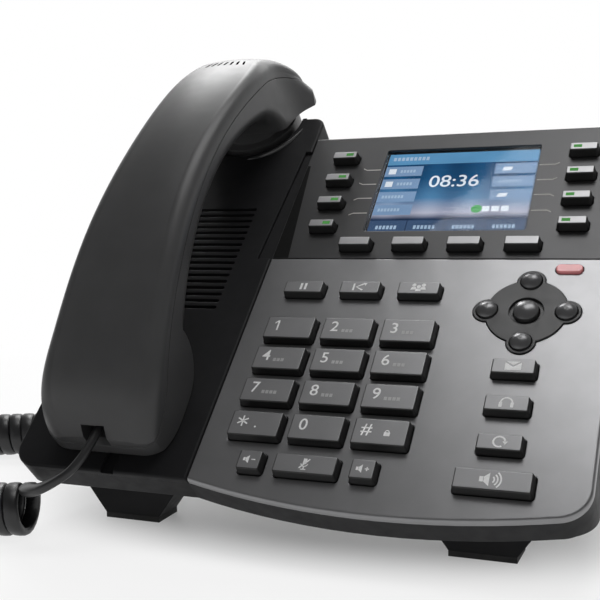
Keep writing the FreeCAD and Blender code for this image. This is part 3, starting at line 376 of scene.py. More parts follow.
def glowing(name, colour, strength):
    """A lit part of the screen or of a line key, a little uneven."""
    material, tree, light = lit(name, strength)
    dark = [c * (1 - GLOW_SHADE) for c in colour]
    tree.links.new(two_tone(tree, noise(tree, GLOW_GRAIN), dark, colour), light)
    return material


def sky(name):
    """The screen's backdrop: deep blue above, a pale glow low down, with soft slanting bands."""
    material, tree, light = lit(name, SKY_GLOW)
    place = place_of(tree, "Object")
    wave = tree.nodes.new("ShaderNodeTexWave")
    wave.inputs["Scale"].default_value = SKY_WAVE
    wave.inputs["Distortion"].default_value = SKY_DISTORTION
    tree.links.new(place, wave.inputs["Vector"])
    screen = (SCREEN_LOW.z, SCREEN_HIGH.z)
    height = mapped(tree, split(tree, place)["Z"], screen, (0, 1), "LINEAR")
    bands = tree.nodes.new("ShaderNodeMix")
    bands.data_type = "RGBA"
    bands.blend_type = "SOFT_LIGHT"
    bands.inputs["Factor"].default_value = SKY_BANDS
    tree.links.new(ramp(tree, height, SKY_STOPS), bands.inputs["A"])
    tree.links.new(wave.outputs["Color"], bands.inputs["B"])
    tree.links.new(bands.outputs["Result"], light)
    return material


def clear(name):
    """The clear window over the screen, with faint wiping marks in its gloss."""
    material, tree, shader = new_tree(name)
    shader.inputs["Base Color"].default_value = WINDOW_TINT
    shader.inputs["Transmission Weight"].default_value = 1.0
    shader.inputs["IOR"].default_value = WINDOW_IOR
    marks = spread(tree, noise(tree, WINDOW_MARKS), *WINDOW_ROUGH)
    tree.links.new(marks, shader.inputs["Roughness"])
    return material


def make_materials():
    return {
        "housing": moulded("housing_plastic", (0.009, 0.009, 0.010), 0.52, specular=0.16),
        # Near-black painted shadow, laid as a wedge where the cradle's recess lies in shade beside
        # the bezel
        "band": moulded("band_plastic", (0.003, 0.003, 0.003), 0.5, specular=0.1),
        "face": painted("face_paint", 0.24, 0.35, 0.85),
        "bezel": painted("bezel_paint", 0.055, 0.38, 0.7),
        "handset": moulded(
            "handset_plastic", (0.055, 0.055, 0.056), 0.38, grain=1400.0, bump=0.06, vary=0.05,
            uneven=0.05, specular=0.3,
        ),
        "key": painted("key_paint", 0.24, 0.4, 0.75),
        "key_side": moulded("key_side", (0.008, 0.008, 0.008), 0.4),
        "line_key": painted("line_key_paint", 0.3, 0.4, 0.75),
        "lip": moulded("lip_plastic", (0.035, 0.035, 0.036), 0.25, bump=0.02),
        "dome": painted("dome_paint", 0.13, 0.3, 0.7),
        "nav_plate": moulded("nav_plate_plastic", (0.03, 0.03, 0.031), 0.42),
        "lamp": moulded("lamp_lens", (0.72, 0.23, 0.24), 0.25, bump=0.02, coat=0.4),
        "membrane": moulded("silicone", (0.2, 0.2, 0.21), 0.6),
        "board": moulded("circuit_board", (0.02, 0.1, 0.045), 0.4),
        "driver": moulded("driver_steel", (0.05, 0.05, 0.05), 0.45, metallic=0.5),
        "capsule": moulded("capsule_metal", (0.5, 0.5, 0.5), 0.35, metallic=0.9),
        "screw": moulded("screw_steel", (0.32, 0.32, 0.33), 0.3, metallic=0.95),
        "rubber": moulded("foot_rubber", (0.012, 0.012, 0.012), 0.75, grain=900.0, bump=0.2),
        "cord": moulded("cord_sheath", (0.014, 0.014, 0.015), 0.38, grain=1100.0, bump=0.08),
        "plug": moulded("plug_plastic", (0.03, 0.03, 0.032), 0.2, bump=0.01),
        "lcd": moulded("lcd_frame", (0.02, 0.02, 0.022), 0.3),
        "white": ink("white_ink", (0.86, 0.86, 0.86)),
        "faint": ink("faint_ink", (0.42, 0.42, 0.42)),
        "guide": ink("guide_ink", (0.42, 0.41, 0.38)),
        "arrow": ink("arrow_ink", (0.2, 0.2, 0.2)),
        # Painted shade for holes and slots: flat near-black shapes stand in for the shade inside
        # them
        "dark": ink("painted_hole_shade", (0.002, 0.002, 0.002), 0.8, 0.0),
        "led": glowing("green_led", (0.10, 0.34, 0.09), 0.8),
    }


FLAT_ENOUGH = 0.97
SOCKET_TOP = -13.0 * MM


def paint_nodes(materials):
    """Give the part's nodes their materials; keys get dark sides, sockets black plastic."""
    other_names = {"gloss_black": "dome", "lens": "lcd"}
    for entry in frame["record"]["subparts"]:
        node, slot = entry["node"], entry["material_slot"]
        mesh = NODES[node].data
        mesh.materials.clear()
        if slot == "key":
            lined = node.startswith(("line_key", "soft_key"))
            mesh.materials.append(materials["line_key" if lined else "key"])
            mesh.materials.append(materials["key_side"])
            for polygon in mesh.polygons:
                is_top = polygon.normal.dot(FACE_NORMAL) > FLAT_ENOUGH
                polygon.material_index = 0 if is_top else 1
            continue
        mesh.materials.append(materials[other_names.get(slot, slot)])
        for polygon in mesh.polygons:
            polygon.material_index = 0
    NODES["nav_plate"].data.materials[0] = materials["nav_plate"]
    to_face = FACE.inverted()
    board = NODES["main_board"].data
    board.materials.append(materials["lcd"])
    for polygon in board.polygons:
        if (to_face @ polygon.center).z < SOCKET_TOP:
            polygon.material_index = 1


# Pieces

CAP_SHARE = 0.73
STROKE_GAIN = 0.05 * MM


def link(name, mesh, body, material):
    piece = add(name, mesh)
    mesh.materials.append(material)
    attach(piece, body)
    return piece


def rect(x0, y0, x1, y1, lean=0.0):
    """A rectangle of a printed sign, its top shifted sideways by lean."""
    return [(x0, y0), (x1, y0), (x1 + lean, y1), (x0 + lean, y1)]


def sized(x, y, wide, tall, lean=0.0):
    """The same, from a corner and a size."""
    return rect(x, y, x + wide, y + tall, lean)


def arc_band(x, y, inner, outer, start, stop, steps=10):
    """Part of a ring, from one angle to another in degrees, as quads."""
    angles = [math.radians(start + (stop - start) * i / steps) for i in range(steps + 1)]
    quads = []
    for a, b in zip(angles, angles[1:]):
        corners = ((inner, a), (outer, a), (outer, b), (inner, b))
        quads.append([(x + r * math.cos(t), y + r * math.sin(t)) for r, t in corners])
    return quads


def disc(x, y, radius, steps=24):
    turn = math.tau / steps
    return [
        (x + radius * math.cos(i * turn), y + radius * math.sin(i * turn)) for i in range(steps)
    ]


def word(x, y, count, wide=1.1, tall=1.3, gap=0.35):
    """A row of small bars that stands in the place of small lettering."""
    return [sized(x + i * (wide + gap), y, wide, tall) for i in range(count)]


def print_shapes(name, body, shapes, x, y, z, material, towards=1):
    """Flat shapes in millimetres about a point of the face; towards is -1 on an underside."""
    points, faces = [], []
    for shape in shapes:
        faces.append(range(len(points), len(points) + len(shape)))
        points += [face(x + u, y + v, z) for u, v in shape]
    mesh = new_mesh(name, points, faces)
    if mesh.polygons[0].normal.dot(FACE_NORMAL) * towards < 0:
        mesh.flip_normals()
    link(name, mesh, body, material)


def print_text(name, body, text, height, x, y, z, material):
    """Printed figures of a given height in millimetres."""
    data = bpy.data.curves.new(name, "FONT")
    data.body = text
    data.size = height * MM / CAP_SHARE
    data.offset = STROKE_GAIN
    data.align_x = "CENTER"
    data.align_y = "CENTER"
    mesh = as_mesh(name, data)
    mesh.name = name
    mesh.transform(Matrix.Translation(face(x, y, z)) @ FACE.to_3x3().to_4x4())
    mesh.materials.clear()
    link(name, mesh, body, material)


# Signs on the keys, each drawn in millimetres about its middle

def loudspeaker_sign(x, size=1.0):
    box = rect(x - 1.5 * size, -0.6 * size, x - 0.7 * size, 0.6 * size)
    horn = [
        (x - 0.6 * size, -0.6 * size), (x + 0.5 * size, -1.5 * size),
        (x + 0.5 * size, 1.5 * size), (x - 0.6 * size, 0.6 * size),
    ]
    return [box, horn]


def envelope_sign():
    half, tall, edge = 2.6, 1.7, 0.35
    flap = [(-half + edge, tall), (half - edge, tall), (0, 0.2)]
    body = [
        (-half, -tall), (half, -tall), (half, tall - edge),
        (0.25, -0.3), (-0.25, -0.3), (-half, tall - edge),
    ]
    return [flap, body]


def headset_sign():
    cups = [rect(-2.3, -1.7, -1.3, 0.2), rect(1.3, -1.7, 2.3, 0.2)]
    return cups + arc_band(0, 0, 1.6, 2.1, 0, 180)


def redial_sign():
    head = [(1.0, 0.2), (2.6, 0.2), (1.8, -1.1)]
    return arc_band(0, 0, 1.5, 2.1, 10, 300, 16) + [head]


def pause_sign():
    return [rect(-1.3, -1.5, -0.4, 1.5), rect(0.4, -1.5, 1.3, 1.5)]


def transfer_sign():
    stem = rect(-2.6, -1.6, -1.9, 1.6)
    upper_arm = [(-1.7, -0.3), (-1.0, 0.3), (1.0, 1.7), (1.6, 1.2)]
    lower_arm = [(u, -v) for u, v in upper_arm]
    head = [(1.0, 1.9), (2.5, 1.9), (2.0, 0.6)]
    return [stem, upper_arm, lower_arm, head]


def people_sign():
    shapes = []
    for x, y in ((-1.7, 0.0), (1.7, 0.0), (0.0, -0.7)):
        low, high = y - 0.9, y + 0.3
        shoulders = [(x - 1.1, low), (x + 1.1, low), (x + 0.7, high), (x - 0.7, high)]
        shapes += [disc(x, y + 1.2, 0.75), shoulders]
    return shapes


def mute_sign():
    capsule = rect(-0.6, -0.1, 0.6, 1.9)
    stand = [rect(-0.2, -2.0, 0.2, -1.2), rect(-0.9, -2.2, 0.9, -1.9)]
    slash = [(-1.7, -1.5), (-1.3, -1.8), (1.7, 1.6), (1.3, 1.9)]
    return [capsule, slash] + stand + arc_band(0, 0.2, 1.0, 1.35, 190, 350)


def volume_sign(louder):
    """A loudspeaker with a minus sign, or with a plus sign when louder."""
    strokes = [rect(0.8, -0.2, 2.2, 0.2)]
    if louder:
        strokes.append(rect(1.3, -0.7, 1.7, 0.7))
    return loudspeaker_sign(-0.6) + strokes


def speaker_sign():
    waves = [quad for r in (1.0, 2.0, 3.0) for quad in arc_band(-0.6, 0, r, r + 0.5, -50, 50)]
    return loudspeaker_sign(-1.6, 1.5) + waves


def lock_sign():
    return [rect(-1.0, -1.1, 1.0, 0.3)] + arc_band(0, 0.3, 0.5, 0.85, 0, 180, 8)


def star_sign():
    """Six strokes about a point, and the dot beside them."""
    shapes = []
    for angle in (90, 150, 210):
        c, s = math.cos(math.radians(angle)), math.sin(math.radians(angle))
        along, across = (2.1 * c, 2.1 * s), (-0.27 * s, 0.27 * c)
        shapes.append([
            (a * along[0] + b * across[0], a * along[1] + b * across[1])
            for a, b in ((-1, -1), (1, -1), (1, 1), (-1, 1))
        ])
    return shapes + [disc(5.0, -2.0, 0.35)]


def one_sign():
    flag = [(-0.1, 2.25), (-1.2, 1.35), (-1.2, 0.7), (-0.1, 1.55)]
    return [rect(-0.1, -2.25, 0.5, 2.25), flag]


# Printing on the keys

DIAL_ROWS = [("star", "0", "hash"), ("7", "8", "9"), ("4", "5", "6"), ("1", "2", "3")]
NUMERAL_HEIGHT, NUMERAL_X, NUMERAL_Y = 4.5, -4.6, 0.6
LETTER_BARS = {"2": 3, "3": 3, "4": 3, "5": 3, "6": 3, "7": 4, "8": 3, "9": 4}
LETTERS_X, LETTERS_Y = -1.7, -1.6
LOCK_X, LOCK_Y = 2.4, -0.4
ARROW = ((0.9, 0.0), (-0.5, 0.9), (-0.5, -0.9))
ARROW_ANGLES = {"right": 0, "up": 90, "left": 180, "down": 270}


def print_dial(materials):
    white, faint = materials["white"], materials["faint"]
    top = KEY_TOP + INK
    for row, names in enumerate(DIAL_ROWS):
        for column, name in enumerate(names):
            x, y = DIAL_X + (column - 1) * DIAL_PITCH_X, DIAL_Y + row * DIAL_PITCH_Y
            key = f"key_{name}"
            place = (x + NUMERAL_X, y + NUMERAL_Y, top, white)
            if name == "star":
                print_shapes("sign_star", key, star_sign(), *place)
            elif name == "hash":
                print_text("sign_hash", key, "#", NUMERAL_HEIGHT, *place)
                print_shapes("sign_lock", key, lock_sign(), x + LOCK_X, y + LOCK_Y, top, white)
            elif name == "1":
                print_shapes("numeral_1", key, one_sign(), *place)
            else:
                print_text(f"numeral_{name}", key, name, NUMERAL_HEIGHT, *place)
            if name in LETTER_BARS:
                letters = word(LETTERS_X, LETTERS_Y, LETTER_BARS[name])
                print_shapes(f"letters_{name}", key, letters, x, y, top, faint)


def print_keys(materials):
    print_dial(materials)
    signs = {
        "hold": (pause_sign(), DIAL_X - DIAL_PITCH_X, FUNCTION_Y),
        "transfer": (transfer_sign(), DIAL_X, FUNCTION_Y),
        "conference": (people_sign(), DIAL_X + DIAL_PITCH_X, FUNCTION_Y),
        "volume_down": (volume_sign(False), DIAL_X - VOLUME_PITCH, AUDIO_Y),
        "mute": (mute_sign(), DIAL_X, AUDIO_Y),
        "volume_up": (volume_sign(True), DIAL_X + VOLUME_PITCH, AUDIO_Y),
        "speaker": (speaker_sign(), SIDE_X, AUDIO_Y),
        "redial": (redial_sign(), SIDE_X, SIDE_Y),
        "headset": (headset_sign(), SIDE_X, SIDE_Y + SIDE_PITCH),
        "message": (envelope_sign(), SIDE_X, SIDE_Y + 2 * SIDE_PITCH),
    }
    top, white = KEY_TOP + INK, materials["white"]
    for name, (shapes, x, y) in signs.items():
        print_shapes(f"sign_{name}", f"key_{name}", shapes, x, y, top, white)
    for name, angle in ARROW_ANGLES.items():
        c, s = math.cos(math.radians(angle)), math.sin(math.radians(angle))
        head = [(a * c - b * s, a * s + b * c) for a, b in ARROW]
        x, y = NAV_X + NAV_RING * c, NAV_Y + NAV_RING * s
        print_shapes(
            f"arrow_{name}", f"nav_{name}", [head], x, y, NAV_TOP + INK, materials["arrow"]
        )


# The bezel: a lit segment on each line key, at the end nearest the screen, guide lines from the
# keys to the screen, and a black wedge of painted shadow down the left edge, beside the cradle

LED_WIDE, LED_DEEP, LED_INSET = 3.0, 1.5, 1.3
GUIDE_ROWS = [(159.3, 0.9), (151.1, 0.9), (143.2, -0.9), (135.0, -0.9)]
GUIDE_GAP, GUIDE_LONG, GUIDE_TIP, GUIDE_WIDE = 0.9, 6.6, 1.6, 0.5
# Outline of the wedge of painted shadow, where the cradle's recess lies in shade beside the bezel
SHADOW_WEDGE = [(-28.6, 111.4), (-22.2, 111.4), (-27.4, 163.0), (-28.6, 163.0)]


def make_bezel_marks(materials):
    """Lit segments and guide lines for both hands, then the wedge of painted shadow."""
    segment = [rect(-LED_WIDE / 2, -LED_DEEP / 2, LED_WIDE / 2, LED_DEEP / 2)]
    for hand, side in (("left", 1), ("right", -1)):
        x = LINE_X[hand] + side * (LINE_WIDE / 2 - LED_INSET - LED_WIDE / 2)
        for i in range(1, LINE_COUNT + 1):
            y = LINE_Y + (LINE_COUNT - i) * LINE_PITCH
            led, key = f"led_{hand}_{i}", f"line_key_{hand}_{i}"
            print_shapes(led, key, segment, x, y, LINE_TOP + INK, materials["led"])
        edge = SCREEN_X - side * SCREEN_WIDE / 2
        start, bend = edge - side * GUIDE_GAP, edge - side * GUIDE_LONG
        end = edge - side * (GUIDE_LONG + GUIDE_TIP)
        shapes = []
        for y, tip in GUIDE_ROWS:
            low, high = y - GUIDE_WIDE / 2, y + GUIDE_WIDE / 2
            shapes.append([(start, low), (bend, low), (bend, high), (start, high)])
            shapes.append([(bend, low), (end, low + tip), (end, high + tip), (bend, high)])
        print_shapes(f"guides_{hand}", "base", shapes, 0, 0, INK, materials["guide"])
    # The wedge is painted shadow: a near-black sheet where the recess beside the bezel lies in
    # shade
    print_shapes("bezel_band", "base", [SHADOW_WEDGE], 0, 0, INK, materials["band"])


# The handset's sound holes and slots, and the rib round its ear well

EAR_X, EAR_Y, EAR_FACE = -63.0, 194.0, -8.0
HOLE, HOLE_STEPS = 0.8, 16
HOLE_RINGS = [(0.0, 1), (3.4, 6), (6.8, 12)]
MOUTH_Y, MOUTH_FACE = 41.5, 0.4
MOUTH_SLOTS, MOUTH_SLOT_WIDE, MOUTH_SLOT_LONG = (-3.0, 0.0, 3.0), 0.8, 2.4
CROWN_Y, CROWN_SLOTS, CROWN_PITCH, CROWN_FAN = 190.0, 7, 2.7, 0.1
CROWN_OUTLINE = [(-2.2, 0.2), (-1.9, 0.42), (-0.7, 0.5), (0.7, 0.5), (1.9, 0.42), (2.2, 0.2)]
HIGH_ABOVE = 100.0
LIP_ANGLES = (-80.0, -14.0)
LIP_STEPS = 32
LIP_MIDDLE = 25.7
LIP_THIN, LIP_SWELL = 0.06, 0.6
LIP_PROFILE = [
    (-2.0, -0.05), (-1.6, 0.15), (-0.2, 0.95), (0.5, 1.3), (1.0, 1.42), (1.35, 1.2), (1.5, -0.05),
]


def make_holes(materials):
    """The sound holes in the handset's two faces, as dark openings of painted shade."""
    dark = materials["dark"]
    holes = []
    for radius, count in HOLE_RINGS:
        for u, v in disc(0, 0, radius, count):
            holes.append(disc(u, v, HOLE, HOLE_STEPS))
    print_shapes("receiver_holes", "handset", holes, EAR_X, EAR_Y, EAR_FACE - INK, dark, -1)
    half, long = MOUTH_SLOT_WIDE / 2, MOUTH_SLOT_LONG / 2
    slots = [rect(x - half, -long, x + half, long) for x in MOUTH_SLOTS]
    print_shapes("microphone_slots", "handset", slots, EAR_X, MOUTH_Y, MOUTH_FACE - INK, dark, -1)


def lay_on(node, x, y):
    """A point just above a node's skin, straight over a point of the face."""
    hit, place, normal, _ = NODES[node].ray_cast(face(x, y, HIGH_ABOVE), -FACE_NORMAL)
    if not hit:
        raise ValueError(f"nothing of {node} at {x}, {y}")
    return place + normal * INK * MM


def make_crown_slots(materials):
    """A row of short slots across the crown of the handset's ear end, laid on its skin as flat
    shapes of painted shade.
    """
    points, faces = [], []
    for i in range(CROWN_SLOTS):
        aside = i - (CROWN_SLOTS - 1) / 2
        start = len(points)
        for v, half in CROWN_OUTLINE:
            x, y = EAR_X + aside * (CROWN_PITCH - v * CROWN_FAN), CROWN_Y + v
            points += [lay_on("handset_back_shell", x + side * half, y) for side in (-1, 1)]
        faces += [(a, a + 1, a + 3, a + 2) for a in range(start, len(points) - 2, 2)]
    mesh = new_mesh("crown_slots", points, faces)
    link("crown_slots", mesh, "handset", materials["dark"])


def make_lip(materials):
    """A low crescent rib round the lower edge of the ear well, thinning out at both ends."""
    points, faces = [], []
    count = len(LIP_PROFILE)
    for i in range(LIP_STEPS + 1):
        share = i / LIP_STEPS
        angle = math.radians(LIP_ANGLES[0] + (LIP_ANGLES[1] - LIP_ANGLES[0]) * share)
        full = max(LIP_THIN, math.sin(math.pi * share) ** LIP_SWELL)
        for out, up in LIP_PROFILE:
            radius = LIP_MIDDLE + out * full
            x, y = EAR_X + radius * math.cos(angle), EAR_Y + radius * math.sin(angle)
            points.append(face(x, y, up * full))
        if i:
            start = (i - 1) * count
            row = range(start, start + count - 1)
            faces += [(a, a + count, a + count + 1, a + 1) for a in row]
    faces += [tuple(range(count)), tuple(reversed(range(LIP_STEPS * count, len(points))))]
    mesh = new_mesh("well_lip", points, faces)
    if sum(p.normal.dot(FACE_NORMAL) for p in mesh.polygons) < 0:
        mesh.flip_normals()
    smooth_sides(mesh)
    link("well_lip", mesh, "base", materials["lip"])


# Screws in the underside

UNDERSIDE = -28.0
SCREWS = [(-86.0, 54.0), (86.0, 54.0), (-86.0, 166.0), (86.0, 166.0)]
SCREW_RINGS = [(3.1, 0.0), (3.0, 0.55), (2.4, 0.95), (1.2, 1.15)]
CROSS_LONG, CROSS_WIDE = 1.0, 0.22


def make_screws(materials):
    """Pan-head screws, each with a cross slot drawn as painted shade."""
    cross = [
        rect(-CROSS_LONG, -CROSS_WIDE, CROSS_LONG, CROSS_WIDE),
        rect(-CROSS_WIDE, CROSS_WIDE, CROSS_WIDE, CROSS_LONG),
        rect(-CROSS_WIDE, -CROSS_LONG, CROSS_WIDE, -CROSS_WIDE),
    ]
    for i, (x, y) in enumerate(SCREWS, start=1):
        points, faces = [], []
        for radius, out in SCREW_RINGS:
            points += [face(x + u, y + v, UNDERSIDE - out) for u, v in disc(0, 0, radius)]
        count = len(points) // len(SCREW_RINGS)
        for a in range(len(points) - count):
            b = a + 1 if (a + 1) % count else a + 1 - count
            faces.append((a, a + count, b + count, b))
        faces.append(tuple(reversed(range(len(points) - count, len(points)))))
        mesh = new_mesh(f"screw_{i}", points, faces)
        link(f"screw_{i}", mesh, "base", materials["screw"])
        top = UNDERSIDE - SCREW_RINGS[-1][1] - INK
        print_shapes(f"screw_slot_{i}", "base", cross, x, y, top, materials["dark"], -1)


# The screen: a generic start page, in millimetres about the screen's middle

CLOCK, CLOCK_HEIGHT, CLOCK_X, CLOCK_Y = "08:36", 6.6, -0.8, 5.2
SCREEN_MARGIN = 0.6
ON_BACKDROP, ON_BOX, ON_TOP = 0.02, 0.04, 0.05
TITLE_LOW, BAR_HIGH, BAR_GAP = 15.6, -15.6, 0.15
SOFT_KEYS = 4
BOX_ROWS, BOX_TALL, LEFT_BOX_END, RIGHT_BOX_START = [9.0, 1.8, -5.4, -12.6], 5.6, -14.6, 14.2
LEFT_ICON_X, LEFT_ICON_SIZE, LEFT_ICON_Y = -28.4, 3.0, 1.3
RIGHT_ICON_X, RIGHT_ICON_SIZE, RIGHT_ICON_Y, ICON_LEAN = 17.0, (3.4, 2.0), 1.6, 0.8
LABELS_X, LABEL_SIZE, LABELS_Y = (12.6, 16.2, 19.8), 2.8, -11.4
LIGHT_X, LIGHT_Y, LIGHT_RADIUS = 10.6, -10.0, 2.1

# Words: where each starts, how many bars it has, and a bar's width, height and gap
TITLE_X, TITLE_Y, TITLE_COUNT, TITLE_BAR = -28.0, 18.0, 9, (1.2, 2.0, 0.5)
BESIDE_ICON_X, BESIDE_ICON_COUNT = -23.6, 5
LEFT_WORD_X, RIGHT_WORD_X, WORD_COUNT = -28.2, 16.6, 7
WORD_Y, WORD_BAR = 2.0, (0.9, 1.6, 0.4)
SOFT_X, SOFT_Y, SOFT_COUNT, SOFT_BAR = 3.0, -20.2, 6, (1.0, 1.9, 0.45)

# Colours of the lit shapes and how strongly they shine
SCREEN_LOOKS = {
    "title": ((0.12, 0.33, 0.56), 0.9),
    "box": ((0.23, 0.36, 0.55), 0.9),
    "bar": ((0.055, 0.10, 0.19), 0.9),
    "white": ((0.85, 0.9, 0.95), 0.95),
    "pale": ((0.42, 0.56, 0.72), 0.9),
    "green": ((0.08, 0.42, 0.12), 0.9),
}


def make_screen():
    """Lit shapes under the window: backdrop, title bar, side boxes, clock and soft key bar."""
    wide, tall = SCREEN_WIDE / 2 - SCREEN_MARGIN, SCREEN_TALL / 2 - SCREEN_MARGIN

    def show(name, shapes, material, up):
        print_shapes(name, "base", shapes, SCREEN_X, SCREEN_Y, SCREEN_Z + up, material)

    show("screen_backdrop", [rect(-wide, -tall, wide, tall)], sky("screen_backdrop"), 0.0)
    glow = {name: glowing(f"screen_{name}", *look) for name, look in SCREEN_LOOKS.items()}
    show("screen_title", [rect(-wide, TITLE_LOW, wide, tall)], glow["title"], ON_BACKDROP)
    boxes = [rect(-wide, y, LEFT_BOX_END, y + BOX_TALL) for y in BOX_ROWS]
    boxes += [rect(RIGHT_BOX_START, y, wide, y + BOX_TALL) for y in BOX_ROWS[:3]]
    show("screen_boxes", boxes, glow["box"], ON_BACKDROP)
    share = 2 * wide / SOFT_KEYS
    starts = [-wide + i * share for i in range(SOFT_KEYS)]
    bars = [rect(x + BAR_GAP, -tall, x + share - BAR_GAP, BAR_HIGH) for x in starts]
    show("screen_bar", bars, glow["bar"], ON_BACKDROP)

    icons = []
    for y in BOX_ROWS[:2]:
        icons.append(sized(LEFT_ICON_X, y + LEFT_ICON_Y, LEFT_ICON_SIZE, LEFT_ICON_SIZE))
    for y in (BOX_ROWS[0], BOX_ROWS[2]):
        icons.append(sized(RIGHT_ICON_X, y + RIGHT_ICON_Y, *RIGHT_ICON_SIZE, ICON_LEAN))
    show("screen_icons", icons, glow["white"], ON_BOX)
    texts = word(TITLE_X, TITLE_Y, TITLE_COUNT, *TITLE_BAR)
    for y in BOX_ROWS[:2]:
        texts += word(BESIDE_ICON_X, y + WORD_Y, BESIDE_ICON_COUNT, *WORD_BAR)
    for y in BOX_ROWS[2:]:
        texts += word(LEFT_WORD_X, y + WORD_Y, WORD_COUNT, *WORD_BAR)
    texts += word(RIGHT_WORD_X, BOX_ROWS[1] + WORD_Y, WORD_COUNT, *WORD_BAR)
    for x in starts:
        texts += word(x + SOFT_X, SOFT_Y, SOFT_COUNT, *SOFT_BAR)
    show("screen_words", texts, glow["pale"], ON_BOX)
    labels = [sized(x, LABELS_Y, LABEL_SIZE, LABEL_SIZE) for x in LABELS_X]
    show("screen_labels", labels, glow["white"], ON_BOX)
    show("screen_light", [disc(LIGHT_X, LIGHT_Y, LIGHT_RADIUS)], glow["green"], ON_TOP)
    print_text(
        "screen_clock", "base", CLOCK, CLOCK_HEIGHT,
        SCREEN_X + CLOCK_X, SCREEN_Y + CLOCK_Y, SCREEN_Z + ON_TOP, glow["white"],
    )


LENS_TOP, LENS_THICK, LENS_EDGE, LENS_SEGMENTS = -0.3, 0.8, 0.1, 2


def make_lens():
    """A thinner clear window in the lens's place, so that the lit screen lies in air below it."""
    corners = rect(-SCREEN_WIDE / 2, -SCREEN_TALL / 2, SCREEN_WIDE / 2, SCREEN_TALL / 2)
    levels = (LENS_TOP - LENS_THICK, LENS_TOP)
    points = [face(SCREEN_X + x, SCREEN_Y + y, z) for z in levels for x, y in corners]
    sides = [(i, (i + 1) % 4, 4 + (i + 1) % 4, 4 + i) for i in range(4)]
    mesh = new_mesh("window", points, [(3, 2, 1, 0), (4, 5, 6, 7)] + sides)
    window = link("screen_window", mesh, "base", clear("screen_window"))
    edge = window.modifiers.new("edge", "BEVEL")
    edge.width = LENS_EDGE * MM
    edge.segments = LENS_SEGMENTS
    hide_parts("display_lens")


# The curly cord: one wire from the handset's plug to the socket under the base

STRAND_WIDE, STRAND_THICK = 5.2 * MM, 3.0 * MM
CURL = 18.5 * MM
COIL_PITCH = 5.35 * MM
COIL_STEPS = 20
LEAD_STEP = COIL_PITCH / 4
RING_POINTS = 12
SQUARENESS = 0.55
SPLINE_STEPS, SPLINE_ORDER = 24, 3
LEAD_ROUTE = [(-75.0, -91.4, 21.0)]
CURL_ROUTE = [
    (-90.0, -79.0), (-111.0, -86.0), (-136.0, -99.0), (-170.0, -116.0), (-207.0, -109.0),
    (-232.0, -82.0), (-236.0, -45.0), (-216.0, -13.0), (-181.0, 1.0), (-146.0, 17.0),
    (-114.0, 28.0),
]
TAIL_ROUTE = [(-98.0, 20.0, 11.0), (-84.0, 9.0, 16.5)]
WAY_IN = 8.0 * MM
HANDSET_X, PLUG_Y, PLUG_Z, LEAD_RUN = -63.0, 25.5, 9.6, 17.0
JACK_X, JACK_Y, JACK_Z, TAIL_RUN = -80.0, 70.0, -28.6, 12.5
LEAD_EDGE, LEAD_TWIST = Vector((-0.62, -0.16, 0.77)), 3
NO_LENGTH, NO_OFFSET = 1e-9, 1e-5
JUST_UNDER = 1 - 1e-6


def spline_points(name, control):
    """Points along the smooth curve that has these control points."""
    data = bpy.data.curves.new(name, "CURVE")
    data.dimensions = "3D"
    data.resolution_u = SPLINE_STEPS
    spline = data.splines.new("NURBS")
    spline.points.add(len(control) - 1)
    for point, place in zip(spline.points, control):
        point.co = (*place, 1)
    spline.order_u = SPLINE_ORDER
    spline.use_endpoint_u = True
    line = as_mesh(name, data)
    points = [v.co.copy() for v in line.vertices]
    bpy.data.meshes.remove(line)
    return points


def length_of(points):
    return sum((b - a).length for a, b in zip(points, points[1:]))


def along(points, step):
    """Points and headings at even steps along a line."""
    result, travelled, target = [], 0.0, 0.0
    for a, b in zip(points, points[1:]):
        run = (b - a).length
        while run > NO_LENGTH and target <= travelled + run:
            result.append((a.lerp(b, (target - travelled) / run), (b - a).normalized()))
            target += step
        travelled += run
    return result


def even_points(points, step):
    return [place for place, _ in along(points, step)]


def coil_points(line):
    """The wire wound round a line in whole turns, so that it starts and ends at the top."""
    radius = CURL / 2 - STRAND_THICK / 2
    length = length_of(line)
    steps = COIL_STEPS * round(length / COIL_PITCH)
    points = []
    for i, (place, heading) in enumerate(along(line, length / steps * JUST_UNDER)):
        turned = math.tau * i / COIL_STEPS
        out = heading.cross(UP).normalized()
        points.append(place + (UP * math.cos(turned) + out * math.sin(turned)) * radius)
    return points


def squared(share):
    """Push a sine or cosine outwards, which makes a circle a rounded square."""
    return math.copysign(abs(share) ** SQUARENESS, share)


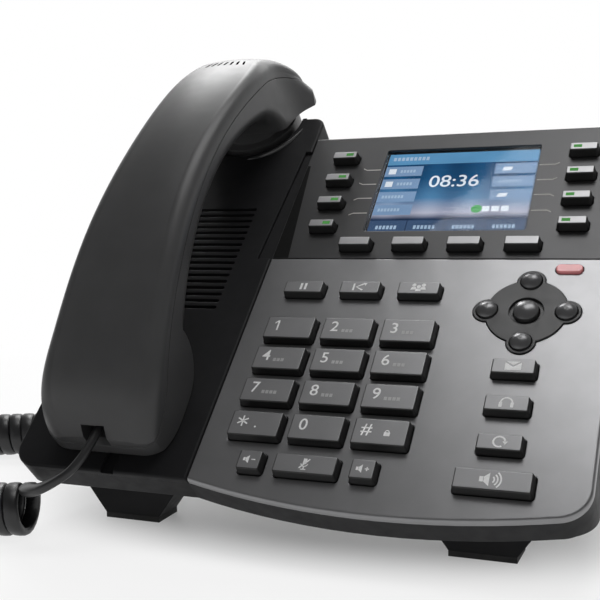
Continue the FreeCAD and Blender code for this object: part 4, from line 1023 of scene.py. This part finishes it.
def sweep(name, points, wide, thick, flat_towards):
    """A flat band with rounded edges along points; flat_towards is its thin direction at each."""
    angles = [math.tau * k / RING_POINTS for k in range(RING_POINTS)]
    ring = [(squared(math.cos(a)) * wide / 2, squared(math.sin(a)) * thick / 2) for a in angles]
    verts, faces = [], []
    for i, place in enumerate(points):
        ahead, behind = points[min(i + 1, len(points) - 1)], points[max(i - 1, 0)]
        heading = (ahead - behind).normalized()
        thin = flat_towards[i] - heading * flat_towards[i].dot(heading)
        thin.normalize()
        broad = heading.cross(thin)
        verts += [place + broad * across + thin * out for across, out in ring]
    for i in range(len(points) - 1):
        for k in range(RING_POINTS):
            a, b = i * RING_POINTS + k, i * RING_POINTS + (k + 1) % RING_POINTS
            faces.append((a, b, b + RING_POINTS, a + RING_POINTS))
    last = (len(points) - 1) * RING_POINTS
    faces += [tuple(reversed(range(RING_POINTS))), tuple(range(last, last + RING_POINTS))]
    mesh = new_mesh(name, verts, faces)
    smooth_sides(mesh)
    return mesh


def make_cord(materials):
    """Lead, curl and tail as one wire."""
    plug = face(HANDSET_X, PLUG_Y, PLUG_Z)
    socket = face(JACK_X, JACK_Y, JACK_Z)
    line = spline_points("curl_line", [(x * MM, y * MM, CURL / 2) for x, y in CURL_ROUTE])
    coil = coil_points(line)
    way_in = (coil[1] - coil[0]).normalized() * WAY_IN
    way_out = (coil[-1] - coil[-2]).normalized() * WAY_IN
    lead = [plug, face(HANDSET_X, PLUG_Y - LEAD_RUN, PLUG_Z)]
    lead += [Vector(p) * MM for p in LEAD_ROUTE] + [coil[0] - way_in, coil[0]]
    tail = [coil[-1], coil[-1] + way_out] + [Vector(p) * MM for p in TAIL_ROUTE]
    tail += [face(JACK_X, JACK_Y, JACK_Z - TAIL_RUN), socket]
    first = even_points(spline_points("lead_line", lead), LEAD_STEP)
    last = even_points(spline_points("tail_line", tail), LEAD_STEP)
    points = first[:-1] + coil + last[1:-1] + [socket]
    axis = even_points(line, LEAD_STEP)
    flat = []
    for i, p in enumerate(points):
        nearest = min(axis, key=lambda q: (q - p).length_squared)
        out = (p - nearest).normalized() if (p - nearest).length > NO_OFFSET else UP
        if i < len(first):
            out = LEAD_EDGE.lerp(out, (i / len(first)) ** LEAD_TWIST)
        flat.append(out)
    mesh = sweep("handset_cord", points, STRAND_WIDE, STRAND_THICK, flat)
    cord = add("handset_cord", mesh)
    mesh.materials.append(materials["cord"])
    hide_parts("cord_leads", "cord_curl")
    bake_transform(cord)


bpy.context.scene.view_settings.view_transform = "Standard"
make_camera()
make_world()
make_floor()
make_lights()
MATERIALS = make_materials()
make_cord(MATERIALS)
paint_nodes(MATERIALS)
print_keys(MATERIALS)
make_bezel_marks(MATERIALS)
make_holes(MATERIALS)
make_crown_slots(MATERIALS)
make_lip(MATERIALS)
make_screws(MATERIALS)
make_screen()
make_lens()
